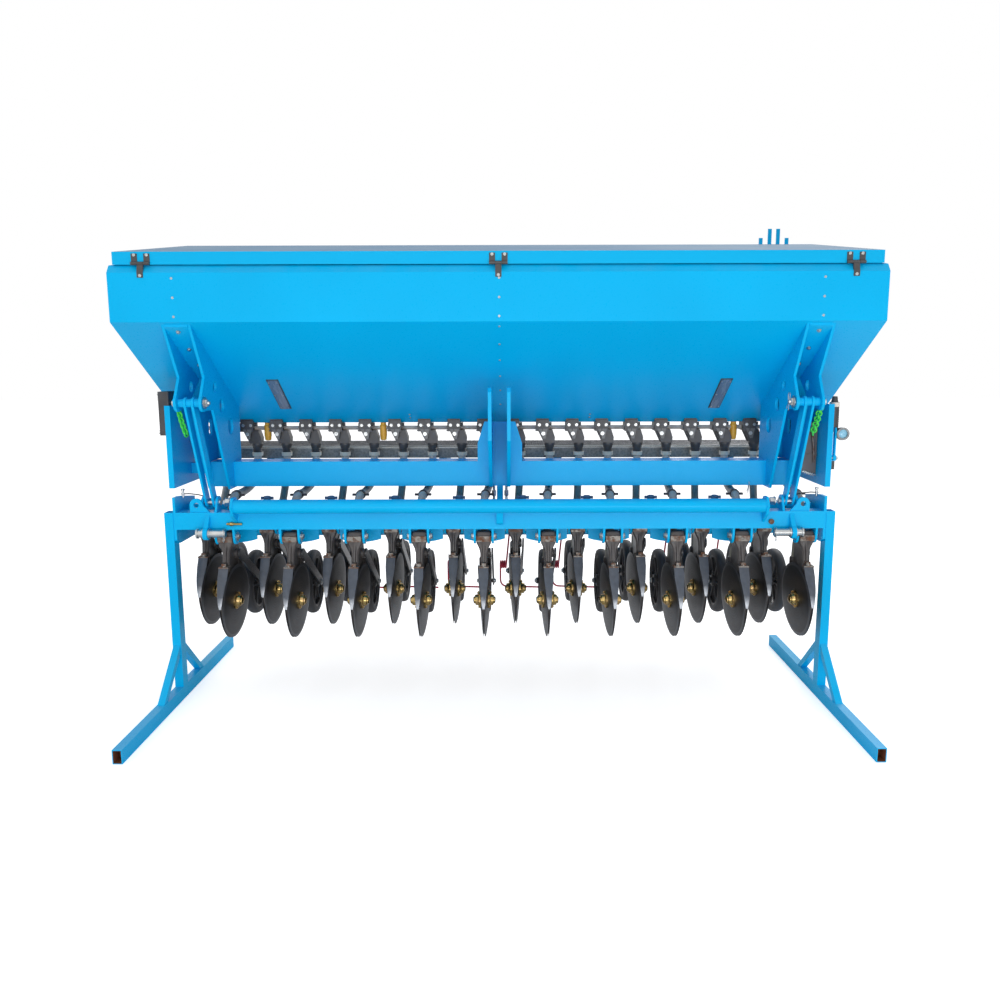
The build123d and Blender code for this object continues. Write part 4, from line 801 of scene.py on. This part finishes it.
# ---- link pins and nuts ----
# Turned steel pins, zinc plated, join the links to the consoles and to the lower frame.
# Nuts, collars and spring clips keep them in, and the upper pins run in painted sleeves.
paint(["link_pins"], zinc)


def carried(paths, radius, sides, helper=(0, 0, 1)):
    """A round bar carried along paths, each a row of points: round each point it puts
    radius * (cos t * u + sin t * v), with u square to the path and to a fixed helper, and
    v square to both. Its ends are capped."""
    paths = np.asarray(paths, float)
    paths = paths.reshape(-1, *paths.shape[-2:])
    ahead = np.gradient(paths, axis=1)
    ahead = ahead / np.linalg.norm(ahead, axis=-1, keepdims=True)
    u = np.cross(np.asarray(helper, float), ahead)
    u = u / np.linalg.norm(u, axis=-1, keepdims=True)
    v = np.cross(ahead, u)
    t = np.arange(sides) * 2 * np.pi / sides
    spoke = np.cos(t)[:, None] * u[:, :, None] + np.sin(t)[:, None] * v[:, :, None]
    return wrapped(paths[:, :, None] + radius * spoke)


def sleeve(inner, outer, near, far, places, outward):
    """A plain tube between two distances from each place along its outward axis."""
    profile = [(near, inner), (near, outer), (far, outer), (far, inner)]
    return turned(profile, places, outward, 24, ring=True)


outward = np.array([(s, 0, 0) for s in side_of])
upper_eye, lower_eye, coupling = (0, -0.315, 1.410), (0, -0.112, 0.940), (0, -0.198, 0.808)
nut_face = 1.281
upper_nuts = bolts(outward * nut_face + upper_eye, -outward, 0.030, 0.015, washer=1.75)
upper_ends = turned([(1.258, 0.008), (1.262, 0.010), (1.272, 0.010)], [upper_eye] * 2, outward, 16)
lower_nuts = bolts(outward * 1.283 + lower_eye, -outward, 0.032, 0.024)
washer_spans = ((1.330, 1.336), (1.358, 1.364), (1.384, 1.391), (1.262, 1.268))
collars = joined(
    sleeve(0.0145, 0.021, 1.319, 1.331, [lower_eye] * 2, outward),
    *[sleeve(0.0175, 0.0235, near, far, [coupling] * 2, outward) for near, far in washer_spans],
)
clip_leg, clip_bend = 0.050, 0.009
bend_turn = np.radians(np.linspace(-90, 90, 9))
leg_steps = np.linspace(0, 1, 14)[:, None]
straight_leg = np.hstack([leg_steps[:-1] * clip_leg, 0 * leg_steps[:-1]])
round_head = np.c_[clip_leg + clip_bend * np.cos(bend_turn), clip_bend + clip_bend * np.sin(bend_turn)]
wave = 2 * clip_bend - 0.010 * np.sin(np.pi * leg_steps) ** 4
wavy_leg = np.hstack([clip_leg * (1 - leg_steps), wave])[1:]
clip_line = np.concatenate([straight_leg, round_head, wavy_leg]) - [0.020, 0]


def spring_clips(places, x_way, y_way, size=1.0):
    """Hairpin clips of 3 mm wire: the flat clip line laid along two directions."""
    flat = clip_line[:, :1] * np.asarray(x_way, float) + clip_line[:, 1:] * np.asarray(y_way, float)
    helper = np.cross(x_way, y_way)
    return carried(np.asarray(places, float).reshape(-1, 1, 3) + size * flat, 0.0017, 6, helper)


clips = joined(
    spring_clips([(1.262, -0.315, 1.398)], (0, -0.25, 0.97), (0, 0.97, 0.25), 1.3),
    spring_clips(outward * 1.267 + coupling, (0, -0.5, -0.85), (0, 0.85, -0.5)),
    spring_clips([(1.205, 0.060, 0.968)], (0, -0.3, 0.95), (0, 0.95, 0.3)),
)
link_steel = joined(upper_nuts, upper_ends, lower_nuts, collars, clips)
piece("link_fasteners", [(link_steel, zinc)])
sleeves = sleeve(0.0152, 0.0185, 1.297, 1.393, [upper_eye] * 2, outward)
piece("upper_pin_sleeves", [(sleeves, blue_coat)])

# ---- console gussets ----
# Laser cut plates carry each outer console plate down to the main beam, with one slot
# like those of the inner plate, and a flange behind them closes the console's back.
slot_turn = np.arange(16) * 2 * np.pi / 16
slot_half, slot_round = 0.017, 0.023
slot_line = np.c_[
    0.080 + slot_round * np.cos(slot_turn),
    1.276 + slot_round * np.sin(slot_turn) + slot_half * np.sign(np.round(np.sin(slot_turn), 6)),
]
gusset_corners = np.array(
    [
        (0.190, 1.240), (0.185, 1.332), (0.080, 1.400), (-0.150, 1.405), (-0.100, 1.276),
        (-0.030, 1.1115), (0.080, 1.1115), (0.190, 1.1115),
    ]
)
gusset_line = np.stack(
    [gusset_corners, (gusset_corners + np.roll(gusset_corners, -1, 0)) / 2], 1,
).reshape(-1, 2)
gusset_near, gusset_far = 1.3945, 1.4055


def slotted(outline, hole, near, far, side):
    """A plate between two distances across the machine: four loops with as many points,
    hole, outline, outline and hole, are joined all the way round."""
    loops = [(hole, near), (outline, near), (outline, far), (hole, far)][:: int(side)]
    plate = [np.c_[np.full(len(line), side * x), line] for line, x in loops]
    return wrapped(np.array([plate]), ring=True)


cheek_line = [(-0.030, 1.1115), (0.035, 0.985), (0.0545, 0.985), (0.0545, 1.1115)]
gusset_width = gusset_far - gusset_near
gusset_middle, back_near = (gusset_near + gusset_far) / 2, 1.2965
cheek_starts = [(s * gusset_middle - gusset_width / 2, 0, 0) for s in side_of]
back_starts = [(back_near, 0, 0), (-gusset_near, 0, 0)]
gussets = joined(
    *[slotted(gusset_line, slot_line, gusset_near, gusset_far, s) for s in side_of],
    prism(cheek_line, gusset_width, cheek_starts, (0, 1, 0), (0, 0, 1)),
    block((0, 0.178, 1.1115), (gusset_near - back_near, 0.190, 1.328), back_starts),
)
piece("console_gussets", [(gussets, blue_coat)])

# ---- console fasteners ----
# The console flanges are bolted through the hopper's slope with three bolts a side, and
# rusty cap screws hold the gussets to the ends of the main beam.
flange_places = [(s * 1.345, y) for s in side_of for y in (-0.396, -0.278, -0.165)]
on_flange = [
    slope_origin + slope_way * ((y - slope_origin[1]) / slope_way[1]) + [x, 0, 0] + slope_out * 0.0086
    for x, y in flange_places
]
flange_bolts = bolts(on_flange, slope_out, 0.013, 0.008, washer=1.5)
piece("console_bolts", [(flange_bolts, zinc)])
cap_screws = turned(
    [(0, 0.013), (0.010, 0.013), (0.012, 0.011)],
    [(s * x, 0.174, 1.072) for s in side_of for x in (1.310, 1.326)], (0, -1, 0), 14,
)
beam_bolts = turned(
    [(0, 0.0125), (0.009, 0.0125), (0.011, 0.010)], [(1.253, -0.167, 0.853)], (0, -1, 0), 18,
)
piece("rusty_screws", [(joined(cap_screws, beam_bolts), bare_iron)])
brass_profile = [
    (0, 0.0055), (0.040, 0.0055), (0.040, 0.0095), (0.055, 0.0095), (0.058, 0.006), (0.070, 0.006),
]
brass = turned(brass_profile, [(-1.188, -0.176, 0.848)], (-1, 0, 0), 18)
piece("beam_latch", [(brass, yellow_zinc)])

# ---- latch rods ----
# Black spring wire, bent down at its inner end on the beam, from a bright pin in each
# end plate.
latch_points = np.array(
    [
        (1.497, -0.075, 0.9735), (1.460, -0.075, 0.975), (1.420, -0.076, 0.971), (1.380, -0.080, 0.962),
        (1.352, -0.086, 0.950), (1.341, -0.092, 0.930), (1.339, -0.094, 0.902),
    ]
)
mirrored_line = np.stack([latch_points * [s, 1, 1] for s in side_of])
latch_rods = carried(mirrored_line, 0.0028, 8, (0, 1, 0.2))
piece("latch_rods", [(latch_rods, bar_paint)])
latch_pins = turned(
    [(-0.016, 0.004), (-0.014, 0.006), (0.018, 0.006), (0.020, 0.009), (0.024, 0.009), (0.026, 0.007)],
    [(s * 1.489, -0.075, 0.972) for s in side_of], (0, 0, 1), 14,
)
piece("latch_pins", [(latch_pins, zinc)])

# ---- stay chains ----
# Bright green plastic chain: ten round links hang from a bolt on each outer console
# plate, each turned a quarter from the one before.
chain_green = patchy("green moulded polyethylene chain", 55.0, 4.0, "#10CF40", "#5BE95C", Roughness=0.36)
link_turn = np.arange(10) * 2 * np.pi / 10
link_profile = np.c_[0.0040 * np.cos(link_turn), 0.0118 + 0.0040 * np.sin(link_turn)]
share = np.linspace(0, 1, 10)
droop = np.stack(
    [1.456 - 0.030 * share**0.8, -0.160 - 0.010 * np.sin(np.pi * share), 1.374 - 0.112 * share], -1,
)
links = [
    turned(link_profile[::-1], droop[start::2] * [s, 1, 1], axis, 14, ring=True) for s in side_of
    for start, axis in ((0, (0.35, 1, 0.1)), (1, (1, -0.3, 0.1)))
]
piece("stay_chains", [(joined(*links), chain_green)])
hook_profile = [(1.4055, 0.006), (1.462, 0.006), (1.462, 0.010), (1.468, 0.010)]
hooks = turned(hook_profile, [(0, -0.160, 1.386)] * 2, outward, 14)
piece("chain_hooks", [(hooks, bare_iron)])

# ---- hose clamps and depth knobs ----
# Black clips hold the front hoses over the front rail, a wing knob stands between each
# pair of them on the rear rail, and two threaded rods steady the middle.
clamp_profile = [(-0.009, 0.0192), (-0.009, 0.0235), (0.009, 0.0235), (0.009, 0.0192)]
clamp_places = np.array([(x + 0.0045, 0.028, 0.9525) for x in front_rows])
hose_clamps = joined(
    turned(clamp_profile, clamp_places, (0.06, 1, 0.05), 24, ring=True),
    *[
        block((x - 0.010, -0.007, -0.005), (x + 0.010, 0.007, 0.005), clamp_places)
        for x in (-0.030, 0.030)
    ],
    block((-0.006, -0.006, -0.040), (0.006, 0.006, -0.022), clamp_places),
)
piece("hose_clamps", [(hose_clamps, plastic)])
knob_x = 0.110 + 0.307 * np.arange(-4, 4)
knob_places = np.array([(x, 0.012, 0.913) for x in knob_x])
knob_profile = [(0.000, 0.007), (0.018, 0.007), (0.018, 0.017), (0.030, 0.019), (0.036, 0.014)]
knobs = joined(
    turned(knob_profile, knob_places, (0, 0, 1), 18),
    block((-0.030, -0.004, 0.020), (0.030, 0.004, 0.033), knob_places),
)
slate = patchy("slate blue moulded nylon", 80.0, 5.0, "#33506E", "#5D7C99", Roughness=0.45)
piece("depth_knobs", [(knobs, slate)])
rod_places = [(-0.029, 0.048, 0.913), (0.031, 0.048, 0.913)]
thread_steps = np.linspace(0.0, 0.077, 40)
thread_profile = np.c_[thread_steps, np.where(np.arange(40) % 2, 0.0068, 0.0058)]
threaded = joined(
    turned(thread_profile, rod_places, (0, 0, 1), 16),
    turned([(0.0, 0.013), (0.012, 0.013)], rod_places, (0, 0, 1), 6),
    turned([(0.030, 0.012), (0.055, 0.012)], rod_places, (0, 0, 1), 6),
)
piece("middle_rods", [(threaded, zinc)])

# ---- harrow tines ----
# Spring steel wire, 10 mm, under red powder coat: a straight leg from the beam's clamp,
# a coil of three turns, a leg down to the ground and a long foot dragged sideways.
red_coat = patchy("red powder coat on spring steel", 70.0, 6.0, "#B01230", "#DB3A58", Roughness=0.34)
wire, coil_radius, coil_y, coil_z, coil_turns = 0.005, 0.019, 0.746, 0.436, 3
beam_x, coil_x, low_x = 0.052, 0.030, -0.004
leg_steps = np.linspace(0, 1, 9)[:-1]
upper_leg = np.c_[
    beam_x + (coil_x - beam_x) * leg_steps, 0 * leg_steps + coil_y + coil_radius,
    0.660 + (coil_z - 0.660) * leg_steps,
]
wind = np.linspace(0, 1, 24 * coil_turns + 1)
turn = 2 * np.pi * coil_turns * wind
coil = np.c_[
    coil_x + (low_x - coil_x) * wind, coil_y + coil_radius * np.cos(turn),
    coil_z - coil_radius * np.sin(turn),
]
low_z = np.linspace(coil_z, 0.345, 8)[1:]
lower_leg = np.c_[0 * low_z + low_x, 0 * low_z + coil_y + coil_radius, low_z]
knee = np.array([low_x, coil_y + coil_radius, 0.303])
foot_end = np.array([0.240, coil_y + coil_radius - 0.022, 0.301])
bend = np.linspace(0, 1, 8)[1:, None]
into_foot = knee + 0.16 * (foot_end - knee)
knee_curve = (1 - bend) ** 2 * lower_leg[-1] + 2 * bend * (1 - bend) * knee + bend**2 * into_foot
foot_run = into_foot + np.linspace(0, 1, 8)[1:, None] * (foot_end - into_foot)
tine_line = np.concatenate([upper_leg, coil, lower_leg, knee_curve, foot_run])
tine_places = np.array([(0.3 * k, 0, 0) for k in range(-4, 5)])
tines = carried(tine_places[:, None] + tine_line, wire, 10, (1, -0.6, 0.3))
coil_tines = piece("coil_tines", [(tines, red_coat)])
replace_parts(coil_tines, "harrow_tines")
tine_clamps = block((0.026, 0.7595, 0.612), (0.078, 0.776, 0.668), tine_places)
clamp_bolts = bolts(tine_places + [0.068, 0.776, 0.652], (0, 1, 0), 0.013, 0.008, washer=1.4)
piece("tine_clamps", [(tine_clamps, bar_paint), (clamp_bolts, zinc)])

# ---- walkway and calibration tray ----
# The tray is folded from galvanised sheet, whose zinc crystals show as pale spangle.
# The walkway is dark oiled steel under a grid of raised expanded metal strands.
galvanised, tree, place = new_finish("hot dip galvanised sheet")
spangle = node(tree, "TexVoronoi", {"Vector": place, "Scale": 90.0})
stain = node(tree, "TexNoise", {"Vector": place, "Scale": 8.0, "Detail": 5.0})
zinc_tone = node(
    tree, "Mix", {0: spangle.outputs["Distance"], 6: "#75777A", 7: "#9A9C9C"}, data_type="RGBA",
)
stained = node(tree, "MapRange", {0: stain, 1: 0.3, 2: 0.7, 3: 0.38, 4: 0.6})
shader = node(tree, "BsdfPrincipled", {"Base Color": zinc_tone, "Metallic": 0.85, "Roughness": stained})
node(tree, "OutputMaterial", {0: shader})
paint(["calibration_tray"], galvanised)

tread_steel = patchy(
    "dark oiled tread steel", 26.0, 6.0, "#2A292D", "#56545A", Metallic=0.6,
    Roughness=(0.35, 0.65, 0.32, 0.6),
)
paint(["walkway"], tread_steel)
walk_low, walk_high = (np.array(corner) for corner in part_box("walkway"))
strand_pitch, strand_rise, strand_wide, strand_run = 0.024, 0.013, 0.0045, 0.300
deck = walk_high[1] - walk_low[1] - 0.010
strand_length = np.hypot(strand_run, deck)
strand_starts = np.arange(walk_low[0] + 0.010 - strand_run, walk_high[0] - 0.010, strand_pitch)
strand_ends = np.array([walk_low[0] + 0.006, walk_high[0] - 0.006])
strands = []
for lean in side_of:
    way = np.array([lean * strand_run, deck, 0]) / strand_length
    beside = np.array([-way[1], way[0], 0])
    for start in strand_starts + (0 if lean > 0 else strand_run):
        enter, leave = np.sort(np.clip((strand_ends - start) / (lean * strand_run), 0, 1))
        length = (leave - enter) * strand_length
        if length > 2 * strand_wide:
            foot = np.array([start, walk_low[1] + 0.005, walk_high[2] - 0.001])
            foot += enter * strand_length * way
            outline = [(0, 0), (length, 0), (length, strand_wide), (0, strand_wide)]
            strands.append(prism(outline, strand_rise, foot, way, beside))
bar_wide = 0.005
end_bars = block(
    (walk_low[0], 0, walk_high[2] - 0.001), (walk_high[0], bar_wide, walk_high[2] + 0.011),
    [(0, y, 0) for y in (walk_low[1], walk_high[1] - bar_wide)],
)
grid_steel = patchy(
    "worn expanded steel strands", 40.0, 5.0, "#3D3C40", "#7E7D80", Metallic=0.5,
    Roughness=(0.35, 0.65, 0.6, 0.35),
)
piece("walkway_grid", [(joined(*strands, end_bars), grid_steel)])
tray_low, tray_high = (np.array(corner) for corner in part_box("calibration_tray"))
rim = turned(
    [(0.0, 0.0035), (tray_high[0] - tray_low[0], 0.0035)],
    [(tray_low[0], y, tray_high[2]) for y in (tray_low[1] + 0.002, tray_high[1] - 0.002)], (1, 0, 0), 10,
)
piece("tray_rims", [(rim, zinc)])

# ---- side fittings ----
# Black moulded covers: a control box on the left, and on the right the drive case and a
# level sensor, with the crank, its sight glass and the chain's rollers beside them.
paint(["side_fittings"], plastic)
sensor_foot, crank_pin = np.array([1.5405, -0.100, 0.0]), np.array([1.525, -0.128, 1.142])
band = turned(
    [(1.376, 0.0214), (1.376, 0.0228), (1.396, 0.0228), (1.396, 0.0214)], sensor_foot, (0, 0, 1), 28,
    ring=True,
)
piece("sensor_band", [(band, ring_white)])
grip_places = [sensor_foot + [0, 0, z] for z in np.arange(1.275, 1.36, 0.010)]
grip_profile = [(0, 0.0214), (0, 0.0226), (0.004, 0.0226), (0.004, 0.0214)]
grips = turned(grip_profile, grip_places, (0, 0, 1), 28, ring=True)
switch_box = block((1.5255, -0.120, 1.088), (1.548, -0.060, 1.126))
box_seam = block((-1.5555, -0.1405, 1.262), (-1.5025, -0.137, 1.268))
piece("sensor_grips", [(joined(grips, switch_box, box_seam), plastic)])
crank_outline = [
    (-0.013, -0.012), (0.013, -0.012), (0.013, 0.130), (0.008, 0.140), (-0.008, 0.140), (-0.013, 0.130),
]
crank = joined(
    prism(crank_outline, 0.006, crank_pin + [0.012, 0, 0], (0, 1, 0), (0, 0, 1)),
    turned([(0.008, 0.014), (0.022, 0.014)], crank_pin, (1, 0, 0), 20),
)
piece("crank", [(crank, blue_coat)])
crank_bolts = joined(
    turned([(-0.004, 0.008), (0.024, 0.008)], crank_pin, (1, 0, 0), 16),
    bolts([crank_pin + [0.022, 0, 0]], (1, 0, 0), 0.016, 0.009, washer=1.4),
    bolts(
        [(-1.5555, y, z) for y in (-0.128, -0.032) for z in (1.275, 1.440)], (-1, 0, 0), 0.007, 0.003,
        washer=1.2,
    ),
    bolts([(x, 0.030, z) for x in (1.462, 1.491) for z in (1.140, 1.262)], (0, -1, 0), 0.008, 0.004),
    turned(
        [(-0.006, 0.0065), (0.006, 0.0065)], [(x, 0.034, 1.104) for x in np.linspace(1.428, 1.492, 6)],
        (1, 0, 0.2), 12,
    ),
)
piece("side_bolts", [(crank_bolts, zinc)])
glass_centre = crank_pin + [0.046, -0.006, 0.112]
glass_ring = turned(
    [(-0.014, 0.0205), (-0.014, 0.029), (-0.004, 0.031), (0.012, 0.029), (0.012, 0.0205)], glass_centre,
    (0, -1, 0), 32, ring=True,
)
glass_arm = block((1.537, -0.130, 1.236), (1.556, -0.124, 1.262))
piece("sight_ring", [(joined(glass_ring, glass_arm), galvanised)])
blue_glass = patchy(
    "pale blue acrylic sight glass", 60.0, 3.0, "#6FB4D6", "#A9DCEF", Roughness=0.16, IOR=1.49,
)
glass = turned(
    [(-0.008, 0.0206), (0.006, 0.0206), (0.010, 0.012), (0.011, 0.002)], glass_centre, (0, -1, 0), 32,
)
piece("sight_glass", [(glass, blue_glass)])
tension_bar = block((1.466, 0.021, 1.150), (1.478, 0.0295, 1.288))
piece("tension_bar", [(tension_bar, bare_iron)])
top_rod = turned([(0.0, 0.0035), (0.060, 0.0035)], [(1.440, 0.024, 1.2940)], (1, 0, 0), 10)
piece("tension_rod", [(top_rod, zinc)])

# ---- chain cover ----
# A dark moulded cover hides the drive chain beside the right side panel; its tensioner
# teeth show along the lower edge and a rusted lever lies over its outer corner.
cover_line = [(1.410, 1.296), (1.412, 1.100), (1.432, 1.070), (1.497, 1.050), (1.497, 1.296)]
cover_body = joined(
    prism(cover_line, 0.046, (0, 0.024, 0)),
    prism([(1.414, 1.150), (1.414, 1.138), (1.497, 1.138), (1.497, 1.150)], 0.005, (0, -0.0215, 0)),
)
cover_grey = patchy("dusty grey moulded polypropylene", 14.0, 6.0, "#55504F", "#7D7775", Roughness=0.5)
piece("chain_cover", [(cover_body, cover_grey)])
lever_line = np.array(
    [(1.462, -0.031, 1.300), (1.468, -0.031, 1.250), (1.478, -0.031, 1.190), (1.484, -0.031, 1.110)]
)
piece("tension_lever", [(carried(lever_line, 0.0055, 10, (0, 1, 0)), bare_iron)])
teeth_places = [(x, -0.024, 1.0675 - 0.30 * (x - 1.432)) for x in np.linspace(1.436, 1.490, 6)]
teeth = turned([(-0.006, 0.0058), (0.006, 0.0058)], teeth_places, (1, 0, 0.2), 12)
piece("tension_teeth", [(teeth, zinc)])

# ---- stand foot ends ----
# The stands are cut from rectangular tube; the coat never reached far into their open
# ends, so the bare steel inside has rusted brown.
rust = patchy(
    "rusted mild steel tube bore", 90.0, 8.0, "#4A2A1A", "#9A5B38", bump=(0.5, 0.001), Roughness=0.85,
)
foot_low, foot_high = (np.array(corner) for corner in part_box("stand_feet"))
foot_half, foot_wall, liner = 0.020, 0.0030, 0.0008
foot_places = [(s * (foot_high[0] - foot_half), foot_low[1], 0) for s in side_of]
bore_x, bore_low, bore_high = foot_half - foot_wall, foot_wall, foot_high[2] - foot_wall
bore = joined(
    block((-bore_x, 0.001, bore_low), (-bore_x + liner, 0.160, bore_high), foot_places),
    block((bore_x - liner, 0.001, bore_low), (bore_x, 0.160, bore_high), foot_places),
    block((-bore_x, 0.001, bore_low), (bore_x, 0.160, bore_low + liner), foot_places),
    block((-bore_x, 0.001, bore_high - liner), (bore_x, 0.160, bore_high), foot_places),
    block((-bore_x, 0.060, bore_low), (bore_x, 0.062, bore_high), foot_places),
)
piece("foot_bores", [(bore, rust)])
